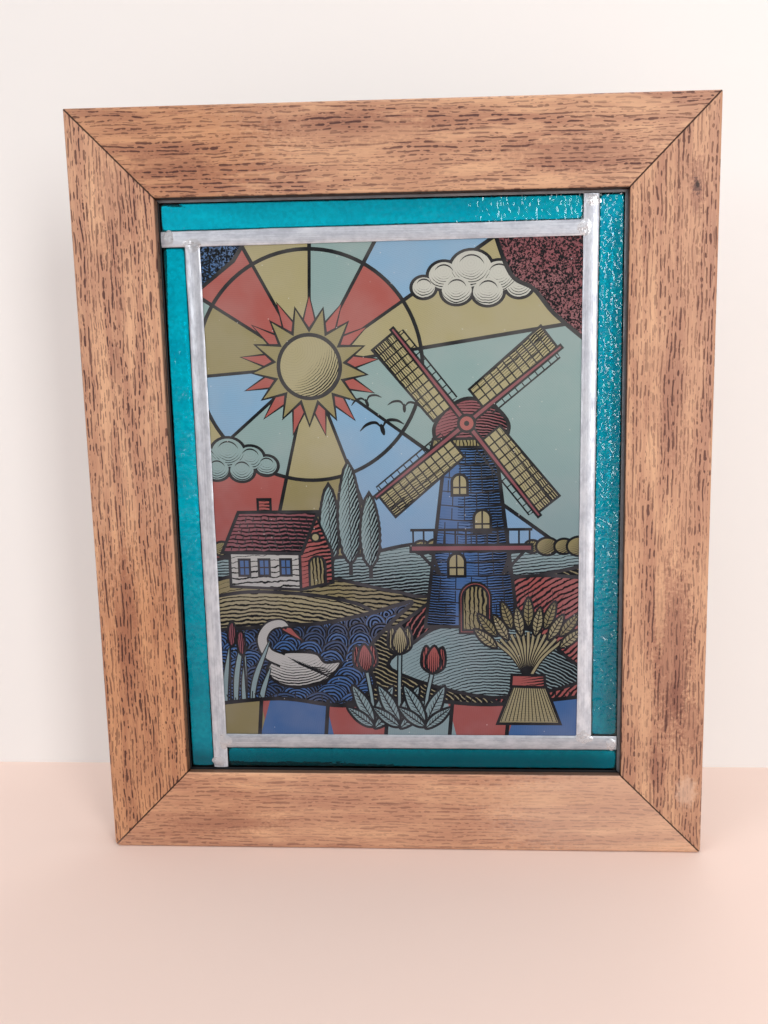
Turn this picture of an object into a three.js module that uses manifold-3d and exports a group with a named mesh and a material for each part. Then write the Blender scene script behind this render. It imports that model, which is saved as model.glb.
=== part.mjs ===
// Framed leaded-glass window panel. Four oak rails are mitred round a panel of leaded glass, which
// sits in a groove in their inner edges. Lead strip runs round the panel and four lead cames cross
// it like a pinwheel, so that four coloured border strips turn round one painted pane.
// Lengths are millimetres. +Z is up, the front faces -Y, and the origin is the middle of the top
// rail's back face, where the window bears on what it hangs from.

import * as THREE from 'three';
import { mergeVertices } from 'three/addons/utils/BufferGeometryUtils.js';
import Module from 'manifold-3d';

// Oak frame
const frameWidth = 330;
const frameHeight = 396;
const frameDepth = 22;
const railWidth = 44.5;
const lipThickness = 4; // wood in front of the groove
const cornerRadius = 2; // rounding of the frame's four outer corners
const outerArris = 1.8; // rounding of a rail's long edges
const innerArris = 1.2;
const backArris = 1;
const mitreGap = 0.35;

// Leaded panel
const leadWidth = 7.8; // width of all the lead, across its leaves
const leafEdge = 0.5; // thickness of a leaf at its edge
const leafCrown = 0.5; // how much thicker a leaf is along its middle
const heartThickness = 1.4; // the web between the two leaves
const leadReveal = 1; // how far the panel's edge lead shows past the wood
const panelShift = 0.5; // how far the panel lies left of the frame's middle
const edgeRoom = 1.2; // room between the panel and the bottom of the groove
const glassThickness = 3;
const paneRoom = 0.5; // room between a pane's edge and the heart of the lead
const glassPlay = 0.3; // room between a pane's face and the lead's leaf
const fitGap = 0.3; // room between other pieces that touch

// Width of each border strip that shows, at its two ends. The hand-made cames aren't quite square.
const stripWidths = {
  top: { start: 14.3, end: 12.4 },
  right: { start: 12.9, end: 14.4 },
  bottom: { start: 11.8, end: 11.8 },
  left: { start: 13.1, end: 12.3 },
};

// Drops of solder over the joints
const solderRadius = 4.4;
const solderHeight = 0.7;
const solderSink = 1.2; // how far a joint's drop lies over the came that runs on

const arcSteps = 4;
const solderSides = 20;
const solderRings = 3;

const sideNames = ['top', 'right', 'bottom', 'left'];
const turn = (k) => (k + sideNames.length) % sideNames.length;

// Depths, from the front face backwards
const frontFace = -frameDepth;
const grooveFront = frontFace + lipThickness;
const leadFront = grooveFront + fitGap;
const frontLeafInside = leadFront + leafCrown + leafEdge;
const glassFront = frontLeafInside + glassPlay;
const glassBack = glassFront + glassThickness;
const backLeafInside = glassBack + glassPlay;
const leadBack = backLeafInside + leafEdge + leafCrown;
const grooveBack = leadBack + fitGap;
const grooveDepth = leadWidth - leadReveal + edgeRoom;

const wasm = await Module();
wasm.setup();

const oak = () => new THREE.MeshStandardMaterial({ color: 0xb98562, roughness: 0.55, metalness: 0 });
const lead = () => new THREE.MeshStandardMaterial({ color: 0xb4b9c2, roughness: 0.45, metalness: 0.9 });
const solder = () => new THREE.MeshStandardMaterial({ color: 0xd2d4d8, roughness: 0.3, metalness: 1 });
const tealGlass = () =>
  new THREE.MeshStandardMaterial({ color: 0x0a93ac, roughness: 0.1, transparent: true, opacity: 0.7 });
const paintedGlass = () => new THREE.MeshStandardMaterial({ color: 0x8f8a72, roughness: 0.2 });

// Lines in the plane of the window. They run clockwise as seen from the front, so a line's inner
// side, towards the middle of the window, is on its right.

function lineBetween(from, to) {
  const length = Math.hypot(to.x - from.x, to.z - from.z);
  return { x: from.x, z: from.z, dx: (to.x - from.x) / length, dz: (to.z - from.z) / length, length };
}

// The line moved towards the middle of the window.
function inward(line, distance) {
  return { ...line, x: line.x + line.dz * distance, z: line.z - line.dx * distance };
}

// A point the given distances along a line and inwards from it.
function pointOn(line, along, inwards) {
  const moved = inward(line, inwards);
  return { x: moved.x + moved.dx * along, z: moved.z + moved.dz * along };
}

function meet(a, b) {
  const cross = a.dx * b.dz - a.dz * b.dx;
  const along = ((b.x - a.x) * b.dz - (b.z - a.z) * b.dx) / cross;
  return { x: a.x + a.dx * along, z: a.z + a.dz * along };
}

// The four sides of a rectangle, in the order of sideNames.
function rectangleSides(middleX, width, height) {
  const corners = [[-1, 1], [1, 1], [1, -1], [-1, -1]].map(([sx, sz]) => ({
    x: middleX + (sx * width) / 2,
    z: (sz * height) / 2,
  }));
  return corners.map((corner, k) => lineBetween(corner, corners[turn(k + 1)]));
}

// The mitre line at the start of side k, where strips of this width meet.
function mitreAt(outerSides, k, width) {
  const before = outerSides[turn(k - 1)];
  const after = outerSides[k];
  return lineBetween(meet(before, after), meet(inward(before, width), inward(after, width)));
}

// A straight bar: its section, with x inwards from the line and y the depth, is carried along the
// line from one end line to the other, and its ends are cut along those two lines.
function bar(section, line, startLine, endLine) {
  const geometry = new THREE.ExtrudeGeometry(section, {
    depth: 1,
    bevelEnabled: false,
    curveSegments: arcSteps,
  });
  const position = geometry.getAttribute('position');
  for (let i = 0; i < position.count; i += 1) {
    const endOfBar = position.getZ(i) < 0.5 ? startLine : endLine;
    const corner = meet(inward(line, position.getX(i)), endOfBar);
    position.setXYZ(i, corner.x, position.getY(i), corner.z);
  }
  geometry.computeVertexNormals();
  return geometry;
}

// A flat plate between two depths, whose corners are where neighbouring lines meet.
function plate(lines, front, back) {
  const corners = lines.map((line, k) => meet(lines[turn(k - 1)], line));
  const outline = new THREE.Shape(corners.map((corner) => new THREE.Vector2(corner.x, corner.z)));
  const geometry = new THREE.ExtrudeGeometry(outline, { depth: back - front, bevelEnabled: false });
  geometry.rotateX(Math.PI / 2);
  geometry.translate(0, back, 0);
  return geometry;
}

// An outline through [x, y, radius] corners with its corners rounded.
function roundedOutline(corners) {
  const outline = new THREE.Shape();
  corners.forEach(([x, y, radius], i) => {
    const here = new THREE.Vector2(x, y);
    const [beforeX, beforeY] = corners.at(i - 1);
    const [afterX, afterY] = corners[(i + 1) % corners.length];
    const enter = here.clone().add(new THREE.Vector2(beforeX - x, beforeY - y).setLength(radius));
    const leave = here.clone().add(new THREE.Vector2(afterX - x, afterY - y).setLength(radius));
    if (i === 0) {
      outline.moveTo(enter.x, enter.y);
    } else {
      outline.lineTo(enter.x, enter.y);
    }
    if (radius > 0) {
      outline.quadraticCurveTo(x, y, leave.x, leave.y);
    }
  });
  return outline;
}

function solidOf(geometry) {
  const bare = geometry.clone();
  bare.deleteAttribute('normal');
  bare.deleteAttribute('uv');
  const merged = mergeVertices(bare);
  return new wasm.Manifold(
    new wasm.Mesh({
      numProp: 3,
      vertProperties: new Float32Array(merged.getAttribute('position').array),
      triVerts: new Uint32Array(merged.getIndex().array),
    }),
  );
}

function geometryOf(solid) {
  const mesh = solid.getMesh();
  const geometry = new THREE.BufferGeometry();
  geometry.setAttribute('position', new THREE.BufferAttribute(mesh.vertProperties, mesh.numProp));
  geometry.setIndex(new THREE.BufferAttribute(mesh.triVerts, 1));
  geometry.computeVertexNormals();
  return geometry;
}

function piece(name, geometry, material) {
  const mesh = new THREE.Mesh(geometry, material);
  mesh.name = name;
  return mesh;
}

// A rail's section: a flat board with softened edges and a groove in its inner edge.
function railSection() {
  return roundedOutline([
    [0, frontFace, outerArris],
    [railWidth, frontFace, innerArris],
    [railWidth, grooveFront, 0],
    [railWidth - grooveDepth, grooveFront, 0],
    [railWidth - grooveDepth, grooveBack, 0],
    [railWidth, grooveBack, 0],
    [railWidth, 0, backArris],
    [0, 0, backArris],
  ]);
}

// The section of the lead: two leaves, thickest along the middle, joined by a heart.
function leadSection() {
  const half = leadWidth / 2;
  const heart = heartThickness / 2;
  const frontEdge = frontLeafInside - leafEdge;
  const backEdge = backLeafInside + leafEdge;
  const section = new THREE.Shape();
  section.moveTo(-half, frontLeafInside);
  section.lineTo(-half, frontEdge);
  section.quadraticCurveTo(0, frontEdge - 2 * leafCrown, half, frontEdge);
  section.lineTo(half, frontLeafInside);
  section.lineTo(heart, frontLeafInside);
  section.lineTo(heart, backLeafInside);
  section.lineTo(half, backLeafInside);
  section.lineTo(half, backEdge);
  section.quadraticCurveTo(0, backEdge + 2 * leafCrown, -half, backEdge);
  section.lineTo(-half, backLeafInside);
  section.lineTo(-heart, backLeafInside);
  section.lineTo(-heart, frontLeafInside);
  section.closePath();
  return section;
}

// Low dome standing on y = 0, as a drop of solder lies on the lead.
function solderDrop() {
  const profile = [new THREE.Vector2(0, 0)];
  for (let ring = 0; ring <= solderRings; ring += 1) {
    const angle = (ring / solderRings) * (Math.PI / 2);
    const radius = ring === solderRings ? 0 : solderRadius * Math.cos(angle);
    profile.push(new THREE.Vector2(radius, solderHeight * Math.sin(angle)));
  }
  return new THREE.LatheGeometry(profile, solderSides);
}

const outerSides = rectangleSides(0, frameWidth, frameHeight);
const sightSides = outerSides.map((side) => inward(side, railWidth));

const clearWidth = frameWidth - 2 * (railWidth + leadReveal);
const clearHeight = frameHeight - 2 * (railWidth + leadReveal);
const clearSides = rectangleSides(-panelShift, clearWidth, clearHeight);
const edgeLeadLines = clearSides.map((side) => inward(side, -leadWidth / 2));
const cameLines = clearSides.map((side, k) => {
  const strip = stripWidths[sideNames[k]];
  return lineBetween(
    pointOn(side, 0, strip.start + leadWidth / 2),
    pointOn(side, side.length, strip.end + leadWidth / 2),
  );
});
const paneEdge = heartThickness / 2 + paneRoom;

function addFrame(group) {
  const plan = roundedOutline(
    outerSides.map((side) => [side.x, side.z, cornerRadius]),
  );
  const blank = new THREE.ExtrudeGeometry(plan, {
    depth: frameDepth,
    bevelEnabled: false,
    curveSegments: arcSteps,
  });
  blank.rotateX(Math.PI / 2);
  const roundedBlock = solidOf(blank);
  const section = railSection();
  outerSides.forEach((side, k) => {
    const start = inward(mitreAt(outerSides, k, railWidth), -mitreGap / 2);
    const end = inward(mitreAt(outerSides, turn(k + 1), railWidth), mitreGap / 2);
    const rail = solidOf(bar(section, side, start, end)).intersect(roundedBlock);
    group.add(piece(`rail_${sideNames[k]}`, geometryOf(rail), oak()));
  });
}

function addEdgeLead(group) {
  const section = leadSection();
  const leadOuterSides = clearSides.map((side) => inward(side, -leadWidth));
  edgeLeadLines.forEach((line, k) => {
    const start = inward(mitreAt(leadOuterSides, k, leadWidth), -fitGap / 2);
    const end = inward(mitreAt(leadOuterSides, turn(k + 1), leadWidth), fitGap / 2);
    group.add(piece(`edge_lead_${sideNames[k]}`, bar(section, line, start, end), lead()));
  });
}

// Each came starts at the edge lead of the side before and ends against the next came.
function addCames(group) {
  const section = leadSection();
  cameLines.forEach((line, k) => {
    const start = inward(clearSides[turn(k - 1)], fitGap);
    const end = inward(cameLines[turn(k + 1)], leadWidth / 2 + fitGap);
    group.add(piece(`came_${sideNames[k]}`, bar(section, line, start, end), lead()));
  });
}

function addGlass(group) {
  cameLines.forEach((line, k) => {
    const pane = [
      inward(edgeLeadLines[turn(k - 1)], paneEdge),
      inward(edgeLeadLines[k], paneEdge),
      inward(cameLines[turn(k + 1)], paneEdge),
      inward(line, -paneEdge),
    ];
    group.add(piece(`border_glass_${sideNames[k]}`, plate(pane, glassFront, glassBack), tealGlass()));
  });
  const picture = cameLines.map((line) => inward(line, paneEdge));
  group.add(piece('picture_glass', plate(picture, glassFront, glassBack), paintedGlass()));
}

// One drop where each came ends on the next, and one where it starts at the frame, on both faces.
function addSolder(group) {
  cameLines.forEach((line, k) => {
    const next = turn(k + 1);
    const before = turn(k - 1);
    const places = {
      [`joint_${sideNames[k]}_${sideNames[next]}`]: meet(
        line,
        inward(cameLines[next], leadWidth / 2 - solderSink),
      ),
      [`end_${sideNames[before]}`]: meet(line, inward(sightSides[before], solderRadius + fitGap)),
    };
    for (const [place, { x, z }] of Object.entries(places)) {
      const onFront = piece(`solder_front_${place}`, solderDrop(), solder());
      onFront.position.set(x, leadFront - fitGap, z);
      onFront.rotation.x = Math.PI;
      const onBack = piece(`solder_back_${place}`, solderDrop(), solder());
      onBack.position.set(x, leadBack + fitGap, z);
      group.add(onFront, onBack);
    }
  });
}

const windowPanel = new THREE.Group();
windowPanel.name = 'leaded_window_panel';
windowPanel.position.z = railWidth / 2 - frameHeight / 2;
addFrame(windowPanel);
addEdgeLead(windowPanel);
addCames(windowPanel);
addGlass(windowPanel);
addSolder(windowPanel);

export default windowPanel;
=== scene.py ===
"""Framed leaded-glass window panel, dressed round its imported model.

Laid out as an add-on and run as a script. Lengths are metres; MM turns millimetres into them.
The window stands upright, its painted front faces -Y and its origin is the middle of the top
rail's back face.
"""

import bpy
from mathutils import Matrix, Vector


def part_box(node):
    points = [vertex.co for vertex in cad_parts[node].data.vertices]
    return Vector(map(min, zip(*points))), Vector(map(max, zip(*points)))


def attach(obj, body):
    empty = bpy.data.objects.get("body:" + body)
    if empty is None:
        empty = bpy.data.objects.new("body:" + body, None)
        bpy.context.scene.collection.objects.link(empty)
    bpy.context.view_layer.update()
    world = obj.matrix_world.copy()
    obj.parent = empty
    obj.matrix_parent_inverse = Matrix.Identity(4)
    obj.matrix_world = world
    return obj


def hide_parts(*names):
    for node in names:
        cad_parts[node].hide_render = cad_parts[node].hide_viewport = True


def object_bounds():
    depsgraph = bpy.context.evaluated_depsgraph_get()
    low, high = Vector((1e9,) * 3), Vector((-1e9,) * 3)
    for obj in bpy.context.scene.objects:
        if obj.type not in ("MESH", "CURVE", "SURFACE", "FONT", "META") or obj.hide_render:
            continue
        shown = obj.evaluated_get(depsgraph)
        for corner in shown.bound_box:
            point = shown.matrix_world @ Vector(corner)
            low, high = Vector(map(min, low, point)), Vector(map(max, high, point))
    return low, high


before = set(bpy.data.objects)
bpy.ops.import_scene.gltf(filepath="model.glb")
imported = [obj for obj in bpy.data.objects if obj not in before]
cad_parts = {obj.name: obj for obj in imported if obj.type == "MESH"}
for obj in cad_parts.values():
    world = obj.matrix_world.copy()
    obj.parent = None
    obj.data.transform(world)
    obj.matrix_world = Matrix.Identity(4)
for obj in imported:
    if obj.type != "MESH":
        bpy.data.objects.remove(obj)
CAD_BOX = [list(corner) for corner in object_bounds()]

import math

import bpy
import numpy as np
from bpy.props import FloatProperty, FloatVectorProperty, PointerProperty
from mathutils import Euler, Vector
from mathutils.geometry import delaunay_2d_cdt

bl_info = {
    "name": "Framed leaded-glass window",
    "version": (1, 0, 0),
    "blender": (4, 5, 0),
    "location": "3D View > Sidebar > Window",
    "description": "Oak, lead, solder, hammered glass and a painted pane for a small leaded window",
    "category": "Object",
}

MM = 0.001
SIDES = ("top", "right", "bottom", "left")

# The places that every piece is worked out from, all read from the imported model
FRAME_LOW, FRAME_HIGH = (np.array(corner) for corner in CAD_BOX)
RAIL_WIDTH = FRAME_HIGH[2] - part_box("rail_top")[0][2]
MIDDLE_Z = (FRAME_LOW[2] + FRAME_HIGH[2]) / 2
LEAD_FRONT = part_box("came_top")[0][1]
LEAD_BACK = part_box("came_top")[1][1]
GLASS_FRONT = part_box("picture_glass")[0][1]
GLASS_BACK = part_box("picture_glass")[1][1]
GLASS_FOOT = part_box("border_glass_bottom")[0][2]

# The photographed view: where the camera is and how it is turned, as a fit to the frame's corners
IMAGE_SIZE = (768, 1024)
FOCAL_PIXELS = 750
AXIS_PIXEL = (468.0, 537.5)
CAMERA_PLACE = (54.7 * MM, -415.9 * MM, -148.1 * MM)
CAMERA_TURN = (82.87, 0.57, 2.32)
SENSOR_MM = 36.0


# Smooth random shapes

def smooth_noise(x, y, cell, seed):
    """Noise from -1 to 1: a random height at every corner of square cells, blended by 3t^2 - 2t^3."""
    size = 128
    heights = np.random.default_rng(seed).uniform(-1, 1, (size, size))
    gx, gy = np.broadcast_arrays(np.asarray(x) / cell, np.asarray(y) / cell)
    ix, iy = np.floor(gx).astype(int), np.floor(gy).astype(int)
    fx, fy = gx - ix, gy - iy
    fx, fy = fx * fx * (3 - 2 * fx), fy * fy * (3 - 2 * fy)
    low = heights[ix % size, iy % size] * (1 - fx) + heights[(ix + 1) % size, iy % size] * fx
    high = heights[ix % size, (iy + 1) % size] * (1 - fx) + heights[(ix + 1) % size, (iy + 1) % size] * fx
    return low * (1 - fy) + high * fy


# Meshes

def grid_faces(rows, columns, closed):
    """Quads of a grid of points, row after row; closed joins the last column to the first."""
    last = columns if closed else columns - 1
    r, c = np.meshgrid(np.arange(rows - 1), np.arange(last), indexing="ij")
    r, c, after = r.ravel(), c.ravel(), (c.ravel() + 1) % columns
    this_row, next_row = r * columns, (r + 1) * columns
    return np.stack([this_row + c, this_row + after, next_row + after, next_row + c], 1)


def make_piece(name, points, faces, materials, nodes, smooth_angle):
    """An object at the origin from points in metres, riding on the window's one body."""
    mesh = bpy.data.meshes.new(name)
    mesh.from_pydata(points.tolist(), [], faces)
    mesh.validate()
    for material in materials:
        mesh.materials.append(material)
    mesh.shade_smooth()
    mesh.set_sharp_from_angle(angle=math.radians(smooth_angle))
    piece = bpy.data.objects.new(name, mesh)
    bpy.context.collection.objects.link(piece)
    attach(piece, "root")
    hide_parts(*nodes)
    return piece


def bar_points(corners, section, stations):
    """A section carried along a straight bar.

    corners are the bar's plan, (x, z) at outer start, outer end, inner end and inner start. A
    section point is (share of the way from the outer to the inner side, depth y). Each point is
    the plain two-way blend of the corners, so ends cut at an angle come out by themselves.
    """
    outer_start, outer_end, inner_end, inner_start = (np.asarray(c) for c in corners)
    across = section[None, :, 0, None]
    along = stations[:, None, None]
    start = outer_start + (inner_start - outer_start) * across
    end = outer_end + (inner_end - outer_end) * across
    plan = start + (end - start) * along
    depth = np.broadcast_to(section[None, :, 1], plan.shape[:2])
    return np.stack([plan[..., 0], depth, plan[..., 1]], 2)


def bar_faces(points):
    """Skin of a bar with its two ends closed."""
    rows, columns = points.shape[:2]
    skin = grid_faces(rows, columns, True).tolist()
    return skin + [list(range(columns))[::-1], list(range((rows - 1) * columns, rows * columns))]


def node_plan(node):
    """A bar's or pane's plan: its four (x, z) corners, clockwise from the top left as seen from the front."""
    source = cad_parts[node].data.vertices
    flat = np.empty(len(source) * 3)
    source.foreach_get("co", flat)
    x, z = flat.reshape(-1, 3)[:, 0], flat.reshape(-1, 3)[:, 2]
    picks = [np.argmax(sx * x + sz * z) for sx, sz in ((-1, 1), (1, 1), (1, -1), (-1, -1))]
    return [np.array((x[i], z[i])) for i in picks]


def turned(corners, side):
    """The four corners in the order outer start, outer end, inner end, inner start of a bar on a side."""
    k = SIDES.index(side)
    return [corners[(k + i) % 4] for i in range(4)]


def rounded(section_corners, steps):
    """An outline with its corners rounded: (across, depth, radius) corners, each an even arc of steps."""
    outline = []
    count = len(section_corners)
    for i, (x, y, radius) in enumerate(section_corners):
        here = np.array((x, y))
        if radius == 0:
            outline.append(here)
            continue
        before = np.array(section_corners[i - 1][:2]) - here
        after = np.array(section_corners[(i + 1) % count][:2]) - here
        enter, leave = (here + v / np.linalg.norm(v) * radius for v in (before, after))
        t = np.linspace(0, 1, steps)[:, None]
        outline.extend((1 - t) ** 2 * enter + 2 * t * (1 - t) * here + t ** 2 * leave)
    return np.array(outline)


def subdivided(outline, spacing):
    """The closed outline with extra points, so that none are further apart than spacing."""
    pieces = []
    for here, after in zip(outline, np.roll(outline, -1, 0)):
        count = max(1, math.ceil(np.linalg.norm(after - here) / spacing))
        pieces.append(here + (after - here) * np.arange(count)[:, None] / count)
    return np.concatenate(pieces)


# Shader nodes

def add(tree, kind, inputs=None, **settings):
    """A node with its settings, and its inputs linked or set."""
    node = tree.nodes.new(kind)
    for name, value in settings.items():
        setattr(node, name, value)
    for name, value in (inputs or {}).items():
        if isinstance(value, bpy.types.NodeSocket):
            tree.links.new(value, node.inputs[name])
        else:
            node.inputs[name].default_value = value
    return node


def tinted(tone, share):
    return tuple(min(c * share, 1.0) for c in tone)


def calculate(tree, operation, *values):
    """A Math node's value."""
    return add(tree, "ShaderNodeMath", dict(enumerate(values)), operation=operation).outputs[0]


def between(tree, value, low, high, out_low=0.0, out_high=1.0):
    """The value spread from low..high to out_low..out_high, easing in and out and held at the ends."""
    return add(tree, "ShaderNodeMapRange", {
        "Value": value, "From Min": low, "From Max": high, "To Min": out_low, "To Max": out_high,
    }, interpolation_type="SMOOTHSTEP").outputs["Result"]


def blend(tree, share, first, second, how="MIX"):
    """The second colour laid over the first by a share."""
    node = add(tree, "ShaderNodeMix", {0: share, 6: first, 7: second}, data_type="RGBA", blend_type=how)
    return node.outputs[2]


def placed(tree, vector, scale=(1, 1, 1), place=(0, 0, 0), turn=(0, 0, 0)):
    return add(tree, "ShaderNodeMapping", {
        "Vector": vector, "Location": place, "Rotation": turn, "Scale": scale,
    }).outputs["Vector"]


def laid_along(tree, coordinates, upright, place=(0, 0, 0)):
    """Coordinates whose X runs along a bar that stands upright or lies level."""
    turn = (0, math.radians(90), 0) if upright else (0, 0, 0)
    return placed(tree, coordinates, place=place, turn=turn)


def noise(tree, vector, scale=1.0, detail=2.0, roughness=0.5, distortion=0.0):
    return add(tree, "ShaderNodeTexNoise", {
        "Vector": vector, "Scale": scale, "Detail": detail, "Roughness": roughness, "Distortion": distortion,
    }).outputs["Fac"]


def group_tree(name, inputs, outputs):
    """A node group with inputs and outputs {name: kind}. Whoever uses it sets every input."""
    tree = bpy.data.node_groups.new(name, "ShaderNodeTree")
    for way, sockets in (("INPUT", inputs), ("OUTPUT", outputs)):
        for label, kind in sockets.items():
            tree.interface.new_socket(label, in_out=way, socket_type="NodeSocket" + kind)
    return tree, tree.nodes.new("NodeGroupInput").outputs, tree.nodes.new("NodeGroupOutput").inputs


def new_material(name):
    """A new material: the material, its tree, its Principled shader and object coordinates."""
    material = bpy.data.materials.new(name)
    material.use_nodes = True
    tree = material.node_tree
    shader = tree.nodes["Principled BSDF"]
    coordinates = add(tree, "ShaderNodeTexCoord").outputs["Object"]
    return material, tree, shader, coordinates


def stored(tree, name, output="Fac"):
    """What the mesh stores under a name: a colour, a vector or a single value."""
    return add(tree, "ShaderNodeAttribute", attribute_name=name, attribute_type="GEOMETRY").outputs[output]


def bumped(tree, shader, height, distance):
    """A height in 0..1 that raises the surface by up to the distance."""
    bump = add(tree, "ShaderNodeBump", {"Height": height, "Distance": distance, "Strength": 1.0})
    tree.links.new(bump.outputs["Normal"], shader.inputs["Normal"])


# Oak

def oak_group():
    """Oak figure on coordinates in metres, with the grain along X.

    Pores stand in rows that lie across Z and, less steeply, across Y, and sway with the grain. A
    noise of each row's own cuts it into dashes. Ray flecks lie aslant and hide the pores.
    """
    tree, given, out = group_tree("Oak figure", {
        "Vector": "Vector", "Light": "Color", "Dark": "Color", "Pore": "Color",
        "Pores": "Float", "Flecks": "Float",
    }, {"Color": "Color", "Pore mask": "Float", "Height": "Float"})
    vector = given["Vector"]
    per_mm = 1 / MM

    def figure(along, across, detail=2.0, roughness=0.5, seed=0.0):
        scaled = placed(tree, vector, (per_mm / along, per_mm / across, per_mm / across), place=(seed,) * 3)
        return noise(tree, scaled, detail=detail, roughness=roughness)

    bands = figure(110, 9, 3.0, 0.6)
    broad = figure(48, 26, 3.0, 0.5, 4.0)
    fibres = figure(16, 0.55, 4.0, 0.7, 8.0)
    axes = add(tree, "ShaderNodeSeparateXYZ", {0: vector}).outputs
    slanted = placed(tree, vector, (per_mm / 34, per_mm / 9, per_mm / 4.6), turn=(0, math.radians(20), 0))
    fleck = between(tree, noise(tree, slanted, detail=2.0, distortion=0.3), 0.54, 0.66)
    fleck = calculate(tree, "MULTIPLY", fleck, given["Flecks"])

    lay = calculate(tree, "MULTIPLY_ADD", axes[1], 0.7, axes[2])
    lay = calculate(tree, "MULTIPLY_ADD", figure(38, 9, 2.0, 0.5, 12.0), 4.6 * MM, lay)
    lay = calculate(tree, "MULTIPLY_ADD", figure(5, 2.2, 2.0, 0.5, 16.0), 1.1 * MM, lay)

    def pore_rows(pitch, width, dash, seed, low, high):
        """Dashes about dash long and width wide, in rows pitch apart, all in mm."""
        place = calculate(tree, "DIVIDE", lay, pitch * MM)
        row = calculate(tree, "ROUND", place)
        off = calculate(tree, "ABSOLUTE", calculate(tree, "SUBTRACT", place, row))
        along = calculate(tree, "DIVIDE", axes[0], dash * MM)
        own = add(tree, "ShaderNodeCombineXYZ", {
            "X": along, "Y": calculate(tree, "MULTIPLY_ADD", row, 3.73, seed), "Z": seed,
        }).outputs[0]
        cut = noise(tree, own, detail=2.0, roughness=0.6)
        half = between(tree, cut, low, high, -0.08, width / pitch / 2)
        return between(tree, calculate(tree, "SUBTRACT", half, off), -0.05, 0.05)

    crowd = between(tree, bands, 0.4, 0.6, 0.45, 1.0)
    main = calculate(tree, "MULTIPLY", pore_rows(2.05, 0.8, 6.5, 3.1, 0.42, 0.56), crowd)
    fine = calculate(tree, "MULTIPLY", pore_rows(1.3, 0.42, 4.0, 9.7, 0.46, 0.62), 0.6)
    pores = calculate(tree, "MAXIMUM", main, fine)
    open_wood = calculate(tree, "MULTIPLY_ADD", fleck, -0.8, 1.0)
    pores = calculate(tree, "MULTIPLY", calculate(tree, "MULTIPLY", pores, open_wood), given["Pores"])

    tone = blend(tree, between(tree, bands, 0.34, 0.66), given["Light"], given["Dark"])
    tone = blend(tree, between(tree, broad, 0.4, 0.68, 0.0, 0.55), tone, given["Dark"])
    tone = blend(tree, between(tree, fibres, 0.38, 0.7, 0.0, 0.45), tone, given["Dark"])
    tone = blend(tree, between(tree, fibres, 0.5, 0.3, 0.0, 0.35), tone, given["Light"])
    tone = blend(tree, calculate(tree, "MULTIPLY", fleck, 0.75), tone, given["Light"])
    tone = blend(tree, calculate(tree, "MULTIPLY", pores, 0.9), tone, given["Pore"])
    tree.links.new(tone, out["Color"])
    tree.links.new(pores, out["Pore mask"])
    height = calculate(tree, "SUBTRACT", calculate(tree, "MULTIPLY", fibres, 0.3), pores)
    tree.links.new(between(tree, height, -1.0, 0.3), out["Height"])
    return tree


def frame_places_group():
    """Where the frame's mitres are, and a mask of the rails' inner faces just behind the front, used to paint
    shade there; from the place alone.
    """
    tree, given, out = group_tree("Frame places", {"Vector": "Vector", "Reach": "Float"},
                                  {"Mitre": "Float", "Recess shade": "Float"})
    axes = add(tree, "ShaderNodeSeparateXYZ", {0: given["Vector"]}).outputs
    half = (FRAME_HIGH - FRAME_LOW) / 2
    from_middle = calculate(tree, "SUBTRACT", axes[2], MIDDLE_Z)
    in_x = calculate(tree, "SUBTRACT", half[0], calculate(tree, "ABSOLUTE", axes[0]))
    in_z = calculate(tree, "SUBTRACT", half[2], calculate(tree, "ABSOLUTE", from_middle))
    ragged = noise(tree, given["Vector"], 900.0, detail=2.0)
    off = calculate(tree, "ABSOLUTE", calculate(tree, "SUBTRACT", in_x, in_z))
    off = calculate(tree, "MULTIPLY_ADD", ragged, -0.5 * MM, off)
    tree.links.new(between(tree, off, 0.55 * MM, 0.1 * MM), out["Mitre"])
    # Recess: the rails' inner faces near the front, where shade is painted
    inner = calculate(tree, "MINIMUM", in_x, in_z)
    far = calculate(tree, "SUBTRACT", RAIL_WIDTH, given["Reach"])
    close = between(tree, inner, far, RAIL_WIDTH - 0.1 * MM)
    behind = between(tree, axes[1], FRAME_LOW[1] + 0.1 * MM, FRAME_LOW[1] + 0.9 * MM)
    tree.links.new(calculate(tree, "MULTIPLY", close, behind), out["Recess shade"])
    return tree


def patch(tree, coordinates, middle, reach, ragged, grain=2.0):
    """A spot round a place (x, z) in mm, fading out at its reach, with a ragged edge."""
    centre = (-middle[0] / reach[0], 0, -middle[1] / reach[1])
    scaled = placed(tree, coordinates, (1 / (reach[0] * MM), 0, 1 / (reach[1] * MM)), place=centre)
    away = add(tree, "ShaderNodeVectorMath", {0: scaled}, operation="LENGTH").outputs["Value"]
    rough = noise(tree, coordinates, 1 / (min(grain, reach[0] / 2) * MM), detail=3.0)
    away = calculate(tree, "MULTIPLY_ADD", rough, ragged, calculate(tree, "SUBTRACT", away, ragged / 2))
    return between(tree, away, 1.0, 0.45)
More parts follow.
